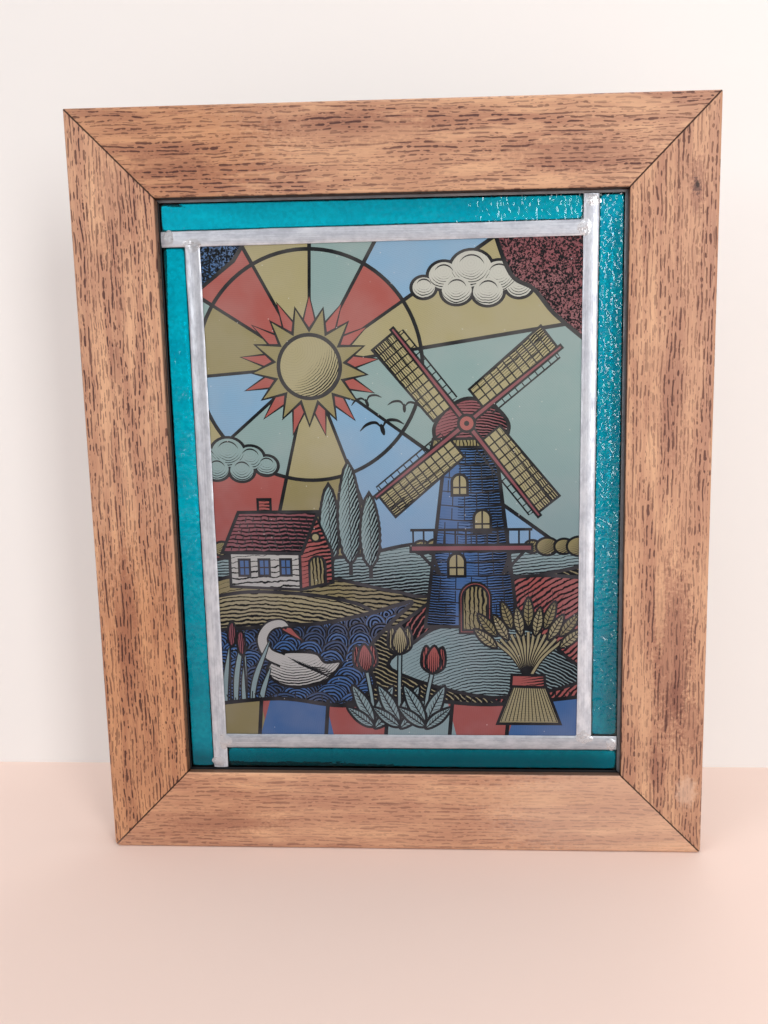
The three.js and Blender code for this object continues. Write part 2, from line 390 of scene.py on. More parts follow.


# Marks on each board: middle and reach in mm, raggedness, share, and which tone or tint. The deeper orange
# tint on the left ends and the paler, pinker tone on the right are painted light: sheen painted on the
# right-hand wood, less of it on the left.
RAIL_MARKS = {
    "top": (
        ((-125, 0), (85, 40), 0.8, 0.7, "warm"),
        ((-110, -6), (26, 9), 1.5, 0.5, "purple"),
        ((-20, 8), (60, 9), 1.4, 0.45, "purple"),
        ((95, -6), (50, 10), 1.5, 0.5, "purple"),
    ),
    "right": (
        ((150, -40), (9, 40), 1.5, 0.4, "purple"),
        ((154, -22), (5.0, 17.0), 1.3, 0.7, "purple"),
        ((153.4, -23), (2.6, 5.0), 2.4, 0.8, "pore"),
        ((153.6, -22), (1.2, 2.1), 0.9, 1.0, "recess"),
        ((145, -130), (10, 36), 1.6, 0.35, "purple"),
        ((147, -262), (13, 62), 1.7, 0.8, "purple"),
        ((149, -286), (7, 13), 1.2, 0.6, "purple"),
        ((157, -300), (7, 20), 1.4, 0.7, "purple"),
        ((140, -324), (6, 16), 1.5, 0.6, "purple"),
        ((140, -236), (3.4, 28), 1.5, 0.5, "pale"),
        ((156, -338), (7, 11), 1.3, 0.5, "dusty"),
        ((133, -296), (3.0, 22), 1.6, 0.4, "pale"),
    ),
    "bottom": (
        ((120, -350), (90, 40), 0.8, 0.35, "dusty"),
        ((-120, -350), (70, 30), 1.0, 0.3, "warm"),
        ((-100, -358), (40, 8), 1.6, 0.4, "purple"),
        ((60, -343), (70, 6), 1.5, 0.25, "pale"),
    ),
    "left": (
        ((-142, -310), (50, 150), 0.6, 0.8, "warm"),
        ((-142, -30), (9, 34), 1.6, 0.45, "purple"),
        ((-146, -105), (5, 16), 1.5, 0.5, "purple"),
        ((-150, -240), (8, 50), 1.6, 0.4, "purple"),
        ((-126, -132), (1.2, 9), 1.2, 0.7, "pale"),
    ),
}


def oak_material(side, figure, places, looks):
    """Satin oak whose grain runs along the rail of one side."""
    material, tree, shader, coordinates = new_material(f"Oak {side} rail")
    seeds = {
        "top": (0.3, 0.1, 0.2), "right": (0.9, 0.3, 0.4),
        "bottom": (1.7, 0.2, 0.9), "left": (2.6, 0.5, 0.6),
    }
    # Painted light: each rail's oak is made lighter by its own share, most on the bottom and left rails, for
    # the light that falls on each
    depth = {"top": 1.0, "right": 1.02, "bottom": 1.12, "left": 1.08}
    pores = {"top": 1.1, "right": 1.0, "bottom": 0.55, "left": 1.25}
    flecks = {"top": 0.8, "right": 0.45, "bottom": 0.3, "left": 0.35}
    grain = laid_along(tree, coordinates, side in ("left", "right"), seeds[side])
    oak = add(tree, "ShaderNodeGroup", {
        "Vector": grain,
        "Light": (*tinted(looks.oak_light, depth[side]), 1),
        "Dark": (*tinted(looks.oak_dark, depth[side]), 1),
        "Pore": (*looks.oak_pore, 1),
        "Pores": pores[side],
        "Flecks": flecks[side],
    }, node_tree=figure)
    tone = oak.outputs["Color"]
    # The paler, pinker tone is a painted sheen, and the deeper orange tint is the wood with less sheen
    # painted on
    tones = {
        "pore": looks.oak_pore, "pale": looks.oak_light,
        "dusty": looks.oak_sheen_tone, "recess": looks.oak_dirt_and_shade,
    }
    tints = {"warm": looks.oak_low_sheen_tint, "purple": looks.oak_purple}
    for middle, reach, ragged, share, name in RAIL_MARKS[side]:
        spot = calculate(tree, "MULTIPLY", patch(tree, coordinates, middle, reach, ragged), share)
        if name in tints:
            tone = blend(tree, spot, tone, (*tints[name], 1), "MULTIPLY")
        else:
            tone = blend(tree, spot, tone, (*tones[name], 1))
    # Painted shade: the inner faces near the front are darkened towards the darkest oak, most on the top rail
    reach = {"top": 1.6, "right": 1.2, "bottom": 0.6, "left": 0.7}
    place = add(tree, "ShaderNodeGroup", {"Vector": coordinates, "Reach": reach[side] * MM}, node_tree=places)
    recess = {"top": 0.95, "right": 0.85, "bottom": 0.8, "left": 0.7}
    shade = calculate(tree, "MULTIPLY", place.outputs["Recess shade"], recess[side])
    tone = blend(tree, shade, tone, (*looks.oak_dirt_and_shade, 1))
    joint = calculate(tree, "MULTIPLY", place.outputs["Mitre"], 0.9)
    tone = blend(tree, joint, tone, (*looks.oak_dirt_and_shade, 1))
    tree.links.new(tone, shader.inputs["Base Color"])
    hollow = calculate(tree, "MAXIMUM", oak.outputs["Pore mask"], place.outputs["Mitre"])
    rough = between(tree, hollow, 0.0, 1.0, 0.45, 0.75)
    tree.links.new(rough, shader.inputs["Roughness"])
    shader.inputs["Specular IOR Level"].default_value = 0.35
    height = calculate(tree, "SUBTRACT", oak.outputs["Height"], place.outputs["Mitre"])
    bumped(tree, shader, between(tree, height, -1.0, 1.0), 0.25 * MM)
    return material


def corner_rounded(points, radii):
    """Points of the frame with its outer corners rounded in plan: what lies outside an arc is drawn to it.

    radii go clockwise from the top left.
    """
    middle_x = (FRAME_LOW[0] + FRAME_HIGH[0]) / 2
    to_right, to_top = points[..., 0] > middle_x, points[..., 2] > MIDDLE_Z
    radius = np.select([~to_right & to_top, to_right & to_top, to_right], radii[:3], radii[3])
    half = (FRAME_HIGH - FRAME_LOW) / 2
    over_x = np.abs(points[..., 0] - middle_x) - (half[0] - radius)
    over_z = np.abs(points[..., 2] - MIDDLE_Z) - (half[2] - radius)
    reach = np.hypot(over_x, over_z)
    outside = (over_x > 0) & (over_z > 0) & (reach > radius)
    back = np.where(outside, radius / np.maximum(reach, 1e-9) - 1, 0)
    moved = points.copy()
    moved[..., 0] += np.sign(points[..., 0] - middle_x) * over_x * back
    moved[..., 2] += np.sign(points[..., 2] - MIDDLE_Z) * over_z * back
    return moved


def build_rails(sizes, looks):
    """Four mitred rails: a flat board section with worn edges and a groove, carried along each side."""
    figure = oak_group()
    places = frame_places_group()
    gap = sizes.fit_gap
    groove_front, groove_back = LEAD_FRONT - gap, LEAD_BACK + gap
    groove_bottom = (FRAME_HIGH[2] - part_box("edge_lead_top")[1][2] - sizes.edge_room) / RAIL_WIDTH
    front, back = FRAME_LOW[1], FRAME_HIGH[1]
    section_corners = [
        (0, front, sizes.outer_arris),
        (1, front, sizes.inner_arris),
        (1, groove_front, 0),
        (groove_bottom, groove_front, 0),
        (groove_bottom, groove_back, 0),
        (1, groove_back, 0),
        (1, back, sizes.back_arris),
        (0, back, sizes.back_arris),
    ]
    outline = rounded([(across * RAIL_WIDTH, depth, radius) for across, depth, radius in section_corners], 8)
    outline = subdivided(outline, 3 * MM)
    section = outline / (RAIL_WIDTH, 1)
    left, right = FRAME_LOW[0], FRAME_HIGH[0]
    low, high = FRAME_LOW[2], FRAME_HIGH[2]
    outer = [np.array(c) for c in ((left, high), (right, high), (right, low), (left, low))]
    inward = [np.array(c) * RAIL_WIDTH for c in ((1, -1), (-1, -1), (-1, 1), (1, 1))]
    # Each end stands back from the mitre line by half the gap, measured along the rail
    back_off = sizes.mitre_gap / math.sqrt(2)
    for k, side in enumerate(SIDES):
        nxt = (k + 1) % 4
        along = (outer[nxt] - outer[k]) / np.linalg.norm(outer[nxt] - outer[k])
        corners = [
            outer[k] + along * back_off, outer[nxt] - along * back_off,
            outer[nxt] + inward[nxt] - along * back_off, outer[k] + inward[k] + along * back_off,
        ]
        stations = 0.5 - 0.5 * np.cos(np.linspace(0, math.pi, 141))
        points = bar_points(corners, section, stations)
        points = corner_rounded(points, sizes.corner_radii)
        wear = smooth_noise(points[..., 0] + points[..., 2], points[..., 1] + k, 22 * MM, 11 + k)
        points[..., 1] += np.where(points[..., 1] < (front + back) / 2, 1, -1) * 0.06 * MM * (1 + wear)
        make_piece(f"oak_rail_{side}", points.reshape(-1, 3), bar_faces(points),
                   [oak_material(side, figure, places, looks)], [f"rail_{side}"], 50.0)


# Lead and solder

def lead_group():
    """Drawn and handled lead: fine marks along X, darker blotches and bright rubbed patches."""
    tree, given, out = group_tree("Handled lead", {"Vector": "Vector", "Bright": "Color", "Dull": "Color"},
                                  {"Color": "Color", "Roughness": "Float", "Height": "Float"})
    per_mm = 1 / MM
    vector = given["Vector"]
    drawn = placed(tree, vector, (per_mm / 60, per_mm / 0.5, per_mm / 0.35))
    marks = noise(tree, drawn, detail=4.0, roughness=0.7)
    clouded = placed(tree, vector, (per_mm / 9, per_mm / 5, per_mm / 4))
    blotch = noise(tree, clouded, detail=5.0, roughness=0.65)
    grain = noise(tree, placed(tree, vector, (per_mm / 0.5,) * 3), detail=3.0, roughness=0.7)
    dull = calculate(tree, "MULTIPLY_ADD", marks, 0.45, calculate(tree, "MULTIPLY", blotch, 0.55))
    tone = blend(tree, between(tree, dull, 0.38, 0.64), given["Bright"], given["Dull"])
    tree.links.new(tone, out["Color"])
    tree.links.new(between(tree, blotch, 0.3, 0.7, 0.32, 0.52), out["Roughness"])
    height = calculate(tree, "MULTIPLY_ADD", grain, 0.5, calculate(tree, "MULTIPLY", marks, 0.6))
    tree.links.new(height, out["Height"])
    return tree


def lead_material(name, figure, bright, dull, upright, roughness_shift=0.0, relief=0.05 * MM, shine=1.0):
    material, tree, shader, coordinates = new_material(name)
    lead = add(tree, "ShaderNodeGroup", {
        "Vector": laid_along(tree, coordinates, upright), "Bright": (*bright, 1), "Dull": (*dull, 1),
    }, node_tree=figure)
    tree.links.new(lead.outputs["Color"], shader.inputs["Base Color"])
    rough = calculate(tree, "ADD", lead.outputs["Roughness"], roughness_shift)
    tree.links.new(rough, shader.inputs["Roughness"])
    shader.inputs["Metallic"].default_value = 0.4 * shine
    shader.inputs["Specular IOR Level"].default_value = 0.5 * shine
    bumped(tree, shader, lead.outputs["Height"], relief)
    return material


def lead_section(sizes):
    """Two crowned leaves with soft edges and the heart between them: (share across, depth)."""
    width = sizes.lead_width
    crown, edge = sizes.leaf_crown, sizes.leaf_edge
    heart = sizes.heart_thickness / width / 2
    front_in = LEAD_FRONT + crown + edge
    back_in = LEAD_BACK - crown - edge
    across = np.linspace(0, 1, 15)
    rise = crown * (1 - (2 * across - 1) ** 2)
    soft = edge * 0.45 * np.abs(2 * across - 1) ** 12
    front = np.stack([across, front_in - edge - rise + soft], 1)
    back = np.stack([across[::-1], back_in + edge + rise - soft], 1)
    return np.concatenate([
        front, [(1, front_in), (0.5 + heart, front_in), (0.5 + heart, back_in), (1, back_in)],
        back, [(0, back_in), (0.5 - heart, back_in), (0.5 - heart, front_in), (0, front_in)],
    ])


def build_lead(sizes, looks):
    """Edge leads and cames: the lead section carried along each, with the waver of hand-pressed lead."""
    figure = lead_group()
    # Painted light: each came's lead is lightened or darkened by its own share, brightest on the right and
    # darkest at the bottom, as lit
    came_light_shares = {"top": 0.9, "right": 0.95, "bottom": 0.66, "left": 0.84}
    # Painted shade: the edge leads are darkened, almost black at the left and bottom, as in the shadow of the
    # frame's lip; the darkest also lose most of their shine
    edge_lead_shade_shares = {"top": 0.26, "right": 0.24, "bottom": 0.02, "left": 0.03}
    section = lead_section(sizes)
    for kind in ("edge_lead", "came"):
        for side in SIDES:
            node = f"{kind}_{side}"
            corners = turned(node_plan(node) if kind == "came" else edge_lead_plan(side), side)
            length = np.linalg.norm(corners[1] - corners[0])
            points = bar_points(corners, section, np.linspace(0, 1, round(length / (1.5 * MM))))
            if kind == "came":
                seed = 40 + SIDES.index(side)
                along = points[..., 0] + points[..., 2]
                waver = smooth_noise(along, np.sign(section[:, 0] - 0.5)[None, :], 14 * MM, seed)
                dent = smooth_noise(along, section[None, :, 0] * 6 * MM, 4 * MM, seed + 9)
                sideways = 0.14 * MM * waver * (2 * section[None, :, 0] - 1)
                points[..., 2 if side in ("top", "bottom") else 0] += sideways
                points[..., 1] += 0.05 * MM * (1 + dent) * np.where(section[None, :, 1] < GLASS_FRONT, 1, -1)
            share = (came_light_shares if kind == "came" else edge_lead_shade_shares)[side]
            material = lead_material(f"Lead {kind} {side}", figure, tinted(looks.lead_bright, share),
                                     tinted(looks.lead_dull, share), side in ("left", "right"),
                                     shine=1.0 if share > 0.1 else 0.1)
            make_piece(f"lead_{node}", points.reshape(-1, 3), bar_faces(points), [material],
                       [node], 45.0)
    build_solder(sizes, looks, figure)


def edge_lead_plan(side):
    """The mitred plan of one edge lead, clockwise from the top left."""
    low = np.min([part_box(f"edge_lead_{s}")[0] for s in SIDES], 0)
    high = np.max([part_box(f"edge_lead_{s}")[1] for s in SIDES], 0)
    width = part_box("edge_lead_top")[1][2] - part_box("edge_lead_top")[0][2]
    left, right, bottom, top = low[0], high[0], low[2], high[2]
    outer = [np.array(c) for c in ((left, top), (right, top), (right, bottom), (left, bottom))]
    inner = [o + np.array(c) * width for o, c in zip(outer, ((1, -1), (-1, -1), (-1, 1), (1, 1)))]
    k = SIDES.index(side)
    ordered = [outer[k], outer[(k + 1) % 4], inner[(k + 1) % 4], inner[k]]
    return [ordered[(i - k) % 4] for i in range(4)]


def lead_surface(x, z):
    """Depth of the front of the lead at a place: the cames' crowns, and the leaf's inside beyond them."""
    deepest = GLASS_FRONT - 0.3 * MM
    depth = np.full(np.broadcast(x, z).shape, deepest)
    for side in SIDES:
        outer_start, outer_end, inner_end, inner_start = turned(node_plan(f"came_{side}"), side)
        start, end = (outer_start + inner_start) / 2, (outer_end + inner_end) / 2
        half = np.linalg.norm(outer_start - inner_start) / 2
        along = (end - start) / np.linalg.norm(end - start)
        dx, dz = x - start[0], z - start[1]
        off = np.abs(dx * along[1] - dz * along[0]) / half
        reach = dx * along[0] + dz * along[1]
        on = (off < 1) & (reach > -1 * MM) & (reach < np.linalg.norm(end - start) + 1 * MM)
        crown = LEAD_FRONT + 0.5 * MM * off ** 2
        depth = np.where(on, np.minimum(depth, crown), depth)
    return depth


def build_solder(sizes, looks, figure):
    """Solder wiped over the joints: thin, lumpy and longer along each lead that meets there.

    The reach at an angle is a round core and a lobe along each lead. The thickness falls off from
    the middle as one less the square of the share of the reach, over the lead's own surface.
    """
    # Painted light: the top right joint and the top end keep the full solder tone, as lit; the other joints
    # get a darker copy of solder and lead, as shaded
    shaded_solder_tone, shaded_lead_tone = tinted(looks.solder_bright, 0.74), tinted(looks.lead_bright, 0.66)
    materials = [
        lead_material("Solder", figure, looks.solder_bright, looks.lead_bright, False, -0.12, 0.1 * MM),
        lead_material("Shaded solder", figure, shaded_solder_tone, shaded_lead_tone, False, -0.14, 0.08 * MM),
    ]
    nodes = sorted(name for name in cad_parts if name.startswith("solder_"))
    lobes = {
        "joint_top_right": (180, 270, 90), "joint_right_bottom": (90, 180, 0),
        "joint_bottom_left": (0, 90, 270), "joint_left_top": (270, 0, 180),
        "end_top": (0,), "end_right": (270,), "end_bottom": (180,), "end_left": (90,),
    }
    rings, sectors = 18, 72
    angle = np.linspace(0, 2 * math.pi, sectors, endpoint=False)[None, :]
    share = np.linspace(1, 0, rings, endpoint=False)[:, None]
    middle_of_depth = (LEAD_FRONT + LEAD_BACK) / 2
    rough = {"joint_top_right": 1.0, "joint_right_bottom": 0.7, "end_top": 0.8, "end_left": 0.7}
    for seed, node in enumerate(nodes):
        where = node.split("_", 2)[2]
        low, high = (np.array(corner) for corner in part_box(node))
        middle = (low + high) / 2
        outward = -1 if "front" in node else 1
        rim = 0.60 + 0.10 * smooth_noise(2 * np.cos(angle) + seed, 2 * np.sin(angle), 0.8, 60 + seed)
        for turn in lobes[where]:
            rim = rim + 0.42 * np.maximum(0, np.cos(angle - math.radians(turn))) ** 4
        reach = np.minimum(sizes.solder_radius * rim, (high[0] - low[0]) / 2 + 1.2 * MM)
        x = middle[0] + reach * share * np.cos(angle)
        z = middle[2] + reach * share * np.sin(angle)
        lumps = smooth_noise(x, z, 1.7 * MM, 90 + seed) + 0.6 * smooth_noise(x, z, 0.7 * MM, 130 + seed)
        lumps = lumps * (0.02 + 0.22 * rough.get(where, 0.35)) * MM
        thick = (1 - share ** 2) * (sizes.solder_height + lumps) - 0.05 * MM
        below = middle_of_depth - lead_surface(x, z)
        y = middle_of_depth + outward * np.minimum(below + np.maximum(thick, -0.05 * MM), below + 0.9 * MM)
        ring_points = np.stack([x, y, z], 2)
        foot = ring_points[:1].copy()
        foot[..., 1] = middle_of_depth + outward * (middle_of_depth - GLASS_FRONT + 0.25 * MM)
        tip = np.array([[middle[0], y[-1].mean(), middle[2]]])
        points = np.concatenate([foot.reshape(-1, 3), ring_points.reshape(-1, 3), tip])
        skin = grid_faces(rings + 1, sectors, True)
        around = np.arange(sectors)
        last = rings * sectors
        cap = np.stack([last + around, last + (around + 1) % sectors, np.full(sectors, len(points) - 1)], 1)
        faces = skin.tolist() + cap.tolist() + [list(range(sectors - 1, -1, -1))]
        if outward > 0:
            faces = [face[::-1] for face in faces]
        # The lit solder for the top right joint and the top end, the painted darker copy for the rest
        material = materials[0 if where in ("joint_top_right", "end_top") else 1]
        make_piece(f"tinned_{node}", points, faces, [material], [node], 60.0)


# Coloured border glass

def teal_material(side, looks):
    """Blue-green glass, clear all through, dark along the lead with cement and a painted shadow of the lead,
    and darkened lower down and on the right by painted shade. Its ripples are in the mesh.
    """
    material, tree, shader, coordinates = new_material(f"Blue-green {side} glass")
    pits = {"top": 0.05, "right": 0.06, "bottom": 0.03, "left": 0.04}
    gloss = {"top": 0.8, "right": 0.9, "bottom": 0.2, "left": 0.4}
    mottle = {"top": 0.25, "right": 0.75, "bottom": 0.4, "left": 0.35}
    # Painted shade: the right strip is given a darker copy of the glass colour, against the brighter light
    # behind it
    depth = {"top": 1.0, "right": 0.72, "bottom": 1.0, "left": 1.0}
    per_mm = 1 / MM
    streak = noise(tree, placed(tree, coordinates, (per_mm / 30, per_mm / 30, per_mm / 14)), detail=2.0)
    tone = blend(tree, between(tree, streak, 0.35, 0.65), (*tinted(looks.teal, depth[side]), 1),
                 (*tinted(looks.teal_deep, depth[side]), 1))
    clouds = noise(tree, placed(tree, coordinates, (per_mm / 2.6,) * 3), detail=3.0)
    tone = blend(tree, between(tree, clouds, 0.46, 0.56, 0.0, mottle[side]), tone, (*looks.teal_cloud, 1))
    # Painted shade: the glass darkens towards the bottom, the side strips from the middle down and the lowest
    # strip most, as the space behind lies in shadow
    height = add(tree, "ShaderNodeSeparateXYZ", {0: coordinates}).outputs[2]
    foot = (*looks.teal_foot_shade, 1)
    tone = blend(tree, between(tree, height, MIDDLE_Z, GLASS_FOOT + 30 * MM, 0.0, 0.5), tone, foot)
    tone = blend(tree, between(tree, height, GLASS_FOOT + 18 * MM, GLASS_FOOT + 6 * MM, 0.0, 0.9), tone, foot)
    tone = blend(tree, stored(tree, "Cement and shade"), tone, (*looks.cement_and_shade, 1))
    tree.links.new(tone, shader.inputs["Base Color"])
    shader.inputs["Roughness"].default_value = 0.05
    shader.inputs["Specular Tint"].default_value = (gloss[side], gloss[side], gloss[side], 1)
    shader.inputs["Transmission Weight"].default_value = 1.0
    shader.inputs["IOR"].default_value = 1.5
    pitted = noise(tree, placed(tree, coordinates, (per_mm / 0.9, per_mm, per_mm / 0.7)), detail=2.0)
    bumped(tree, shader, pitted, pits[side] * MM)
    return material


def lead_distance(x, z):
    """Distance in plan from the leads, rounded where two meet.

    For one lead it is the furthest of its four sides' distances. The leads are joined by a soft
    minimum: the log of the summed exponentials of each distance over the rounding.
    """
    rounding = 0.9 * MM
    total = np.zeros(x.shape)
    plans = [node_plan(f"came_{side}") for side in SIDES] + [edge_lead_plan(side) for side in SIDES]
    for plan in plans:
        middle = np.mean(plan, 0)
        furthest = np.full(x.shape, -1.0)
        for here, after in zip(plan, plan[1:] + plan[:1]):
            along = (after - here) / max(np.linalg.norm(after - here), 1e-9)
            out = np.array((along[1], -along[0]))
            out = out if (middle - here) @ out < 0 else -out
            furthest = np.maximum(furthest, (x - here[0]) * out[0] + (z - here[1]) * out[1])
        total += np.exp(-furthest / rounding)
    return -rounding * np.log(total)


def slab(corners, front, back, spacing, relief):
    """A pane: a front grid that a relief moves inwards, a flat back and four straight sides.

    corners go clockwise from the top left, as (x, z). relief(x, z) is how far the front lies
    behind its plane.
    """
    top_left, top_right, bottom_right, bottom_left = corners
    columns = max(2, round(np.linalg.norm(top_right - top_left) / spacing))
    rows = max(2, round(np.linalg.norm(bottom_left - top_left) / spacing))
    u, v = np.meshgrid(np.linspace(0, 1, columns), np.linspace(0, 1, rows))
    u, v = u[..., None], v[..., None]
    plan = (top_left * (1 - u) + top_right * u) * (1 - v) + (bottom_left * (1 - u) + bottom_right * u) * v
    depth = front + relief(plan[..., 0], plan[..., 1])
    face_points = np.stack([plan[..., 0], depth, plan[..., 1]], 2).reshape(-1, 3)
    faces = grid_faces(rows, columns, False)[:, ::-1].tolist()
    index = np.arange(rows * columns).reshape(rows, columns)
    rim = np.concatenate([index[0, :-1], index[:-1, -1], index[-1, :0:-1], index[:0:-1, 0]])
    back_rim = face_points[rim].copy()
    back_rim[:, 1] = back
    base = len(face_points)
    count = len(rim)
    step = np.arange(count)
    following = (step + 1) % count
    sides = np.stack([rim[step], rim[following], base + following, base + step], 1)
    points = np.concatenate([face_points, back_rim])
    return points, faces + sides.tolist() + [(base + step[::-1]).tolist()]


def worms(x, z, wide, tall, seed):
    """Rolled glass, 0 to 1: a noise bent by a second, broader one, and a third and finer one over it."""
    bend = smooth_noise(x, z, 3.1 * wide, seed)
    first = smooth_noise(x / wide + 0.9 * bend, z / tall, 1.0, seed + 1)
    second = smooth_noise(x / wide, z / tall + 0.9 * bend, 0.6, seed + 2)
    return 0.5 + 0.32 * first + 0.18 * second


def border_relief(side, x, z, sizes):
    """How far the front lies back: strong short ripples on the right, calmer at the left ends and below."""
    left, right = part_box("border_glass_top")[0][0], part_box("border_glass_top")[1][0]
    bottom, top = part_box("border_glass_left")[0][2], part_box("border_glass_left")[1][2]
    cell, depth = sizes.hammer_cell, sizes.hammer_depth
    if side == "top":
        strong = np.clip((x - left) / (right - left) * 1.5 - 0.35, 0.12, 1.0)
        return depth * 1.2 * strong * worms(x, z, cell * 0.9, cell * 2.2, 201)
    if side == "bottom":
        return depth * 0.35 * worms(x, z, cell * 1.8, cell * 1.2, 231)
    share = np.clip((z - bottom) / (top - bottom), 0, 1)
    patches = 0.5 + 0.5 * smooth_noise(x, z, 6 * MM, 225)
    if side == "left":
        lively = np.clip(np.sin(math.pi * share ** 0.8) * 1.6 - 0.4, 0, 1)
        lively = lively * np.clip(2.2 * patches - 0.5, 0.1, 1)
        return depth * (0.1 + 1.3 * lively) * worms(x, z, cell * 1.1, cell, 221)
    lively = np.clip(share * 7, 0.35, 1) * (0.7 + 0.4 * patches)
    return depth * 1.3 * lively * worms(x, z, cell * 1.1, cell * 0.9, 211)


def build_border_glass(sizes, looks):
    """Four strips of rolled blue-green glass, with a dark line where each meets the lead: cement, and the
    lead's shadow painted on.
    """
    for side in SIDES:
        material = teal_material(side, looks)
        node = f"border_glass_{side}"
        points, faces = slab(node_plan(node), GLASS_FRONT, GLASS_BACK, 0.36 * MM,
                             lambda x, z: border_relief(side, x, z, sizes))
        pane = make_piece(f"rolled_{node}", points, faces, [material], [node], 180.0)
        # The dark line: cement, and the lead's shadow painted on the glass beside it
        ragged = 0.12 * MM * smooth_noise(points[:, 0], points[:, 2], 2.5 * MM, 250)
        off = lead_distance(points[:, 0], points[:, 2]) + ragged
        cement_and_shade = np.clip((1.12 * MM - off) / (0.4 * MM), 0, 1)
        cement_and_shade[points[:, 1] > (GLASS_FRONT + GLASS_BACK) / 2] = 0
        pane.data.attributes.new("Cement and shade", "FLOAT", "POINT").data.foreach_set("value", cement_and_shade)


# Painted pane: an engraver's country scene, in millimetres from the lower left of what shows

class Paints:
    """The enamel colours by name, linear."""

    def __init__(self, looks):
        self.table = {name: np.array(getattr(looks, "paint_" + name)) for name in PAINT_NAMES}

    def __getitem__(self, name):
        return self.table[name]


PAINT_NAMES = ("ink", "straw", "olive", "sage", "brick", "blue", "pale_blue", "deep_blue", "maroon", "cream")
PICTURE = (196.0, 262.0)
HIDDEN_RIM = (3.8, 4.3)


def curve(points, closed=False, steps=6):
    """A Catmull-Rom curve through the points, steps to a stretch."""
    p = np.array(points, float)
    if closed:
        p = np.concatenate([p[-1:], p, p[:2]])
    else:
        p = np.concatenate([2 * p[:1] - p[1:2], p, 2 * p[-1:] - p[-2:-1]])
    t = (np.arange(steps) / steps)[None, :, None]
    a, b, c, d = (p[i:len(p) - 3 + i, None] for i in range(4))
    square, cube = 2 * a - 5 * b + 4 * c - d, 3 * b - a - 3 * c + d
    bent = 0.5 * (2 * b + (c - a) * t + square * t ** 2 + cube * t ** 3)
    bent = bent.reshape(-1, 2)
    return bent if closed else np.concatenate([bent, p[-2:-1]])


def ring(x, y, across, up=None, start=0.0, end=360.0, count=32):
    """Points of an ellipse from one angle in degrees to another; a full turn leaves its last point out."""
    angle = np.radians(np.linspace(start, end, count, endpoint=abs(end - start) < 360))
    return np.stack([x + across * np.cos(angle), y + (up or across) * np.sin(angle)], 1)


def moved(points, place=(0, 0), turn=0.0, size=1.0):
    """Points scaled, turned by degrees and set down at a place."""
    c, s = math.cos(math.radians(turn)), math.sin(math.radians(turn))
    return np.array(points, float) @ np.array(((c, s), (-s, c))) * size + place


def area(outline):
    x, y = outline.T
    return 0.5 * np.sum(x * np.roll(y, -1) - np.roll(x, -1) * y)


def widened(outline, reach):
    """A closed outline with every point moved outwards so that its sides move by the reach."""
    before = outline - np.roll(outline, 1, 0)
    after = np.roll(outline, -1, 0) - outline
    before, after = (v / np.maximum(np.hypot(*v.T), 1e-9)[:, None] for v in (before, after))
    normal = np.stack([before[:, 1] + after[:, 1], -before[:, 0] - after[:, 0]], 1) / 2
    normal /= np.maximum(np.sum(normal ** 2, 1), 0.25)[:, None]
    return outline + normal * reach * math.copysign(1, area(outline))


def ribbon(line, widths):
    """Outline of a stroke along a line, with a width at every point."""
    line = np.array(line, float)
    ahead = np.gradient(line, axis=0)
    ahead /= np.maximum(np.hypot(*ahead.T), 1e-9)[:, None]
    side = np.stack([-ahead[:, 1], ahead[:, 0]], 1) * (np.broadcast_to(widths, len(line)) / 2)[:, None]
    return np.concatenate([line + side, (line - side)[::-1]])


def covers(outline, points):
    """Whether each point lies in the outline: the outline goes round it, all turns summed."""
    x, y = points[:, :1], points[:, 1:]
    (x1, y1), (x2, y2) = outline.T, np.roll(outline, -1, 0).T
    side = (x2 - x1) * (y - y1) - (x - x1) * (y2 - y1)
    turns = ((y1 <= y) & (y2 > y) & (side > 0)).sum(1) - ((y1 > y) & (y2 <= y) & (side < 0)).sum(1)
    return turns != 0


class Drawing:
    """A painter's list: each shape covers what was put down before it.

    A shape has an outline, a paint, an optional outline that it is kept within, and its
    engraving: ink lines at an even pitch round a centre, whose share of the pitch goes from
    least at one point to most at another. A pitch of nil with a share gives stipple.
    """

    def __init__(self, paints):
        self.paints = paints
        self.shapes = []

    def fill(self, outline, paint, lines=None, within=None):
        centre, pitch, pale, dark, least, most = lines or ((0, 0), 1.0, (0, 0), (0, 1), 0.0, 0.0)
        pale, dark = np.array(pale, float), np.array(dark, float)
        slope = (dark - pale) / np.sum((dark - pale) ** 2) * (most - least)
        self.shapes.append((np.array(outline, float), self.paints[paint], (*centre, pitch),
                            (least - pale @ slope, *slope), within))

    def shape(self, outline, paint, line=1.6, lines=None, within=None):
        """A closed shape with an ink line along its edge."""
        outline = np.array(outline, float)
        self.fill(widened(outline, line / 2), "ink", within=within)
        self.fill(widened(outline, -line / 2), paint, lines, within)

    def stroke(self, line, width=1.0, taper=0.0, paint="ink", within=None):
        """A stroke along a line; taper is how much thinner it gets towards both ends."""
        t = np.linspace(-1, 1, len(line))
        self.fill(ribbon(line, width * (1 - taper * t ** 2)), paint, within=within)


def straight(angle, pitch, pale, dark, least=0.0, most=0.7):
    """Engraving in straight lines at an angle in degrees: arcs round a centre 4 m away."""
    a = math.radians(angle)
    return ((-4000 * math.sin(a), 4000 * math.cos(a)), pitch, pale, dark, least, most)


def round_centre(centre, pitch, pale, dark, least=0.0, most=0.7):
    return (centre, pitch, pale, dark, least, most)


def stipple(share):
    return ((0, 0), 0.0, (0, 0), (0, 1), share, share)


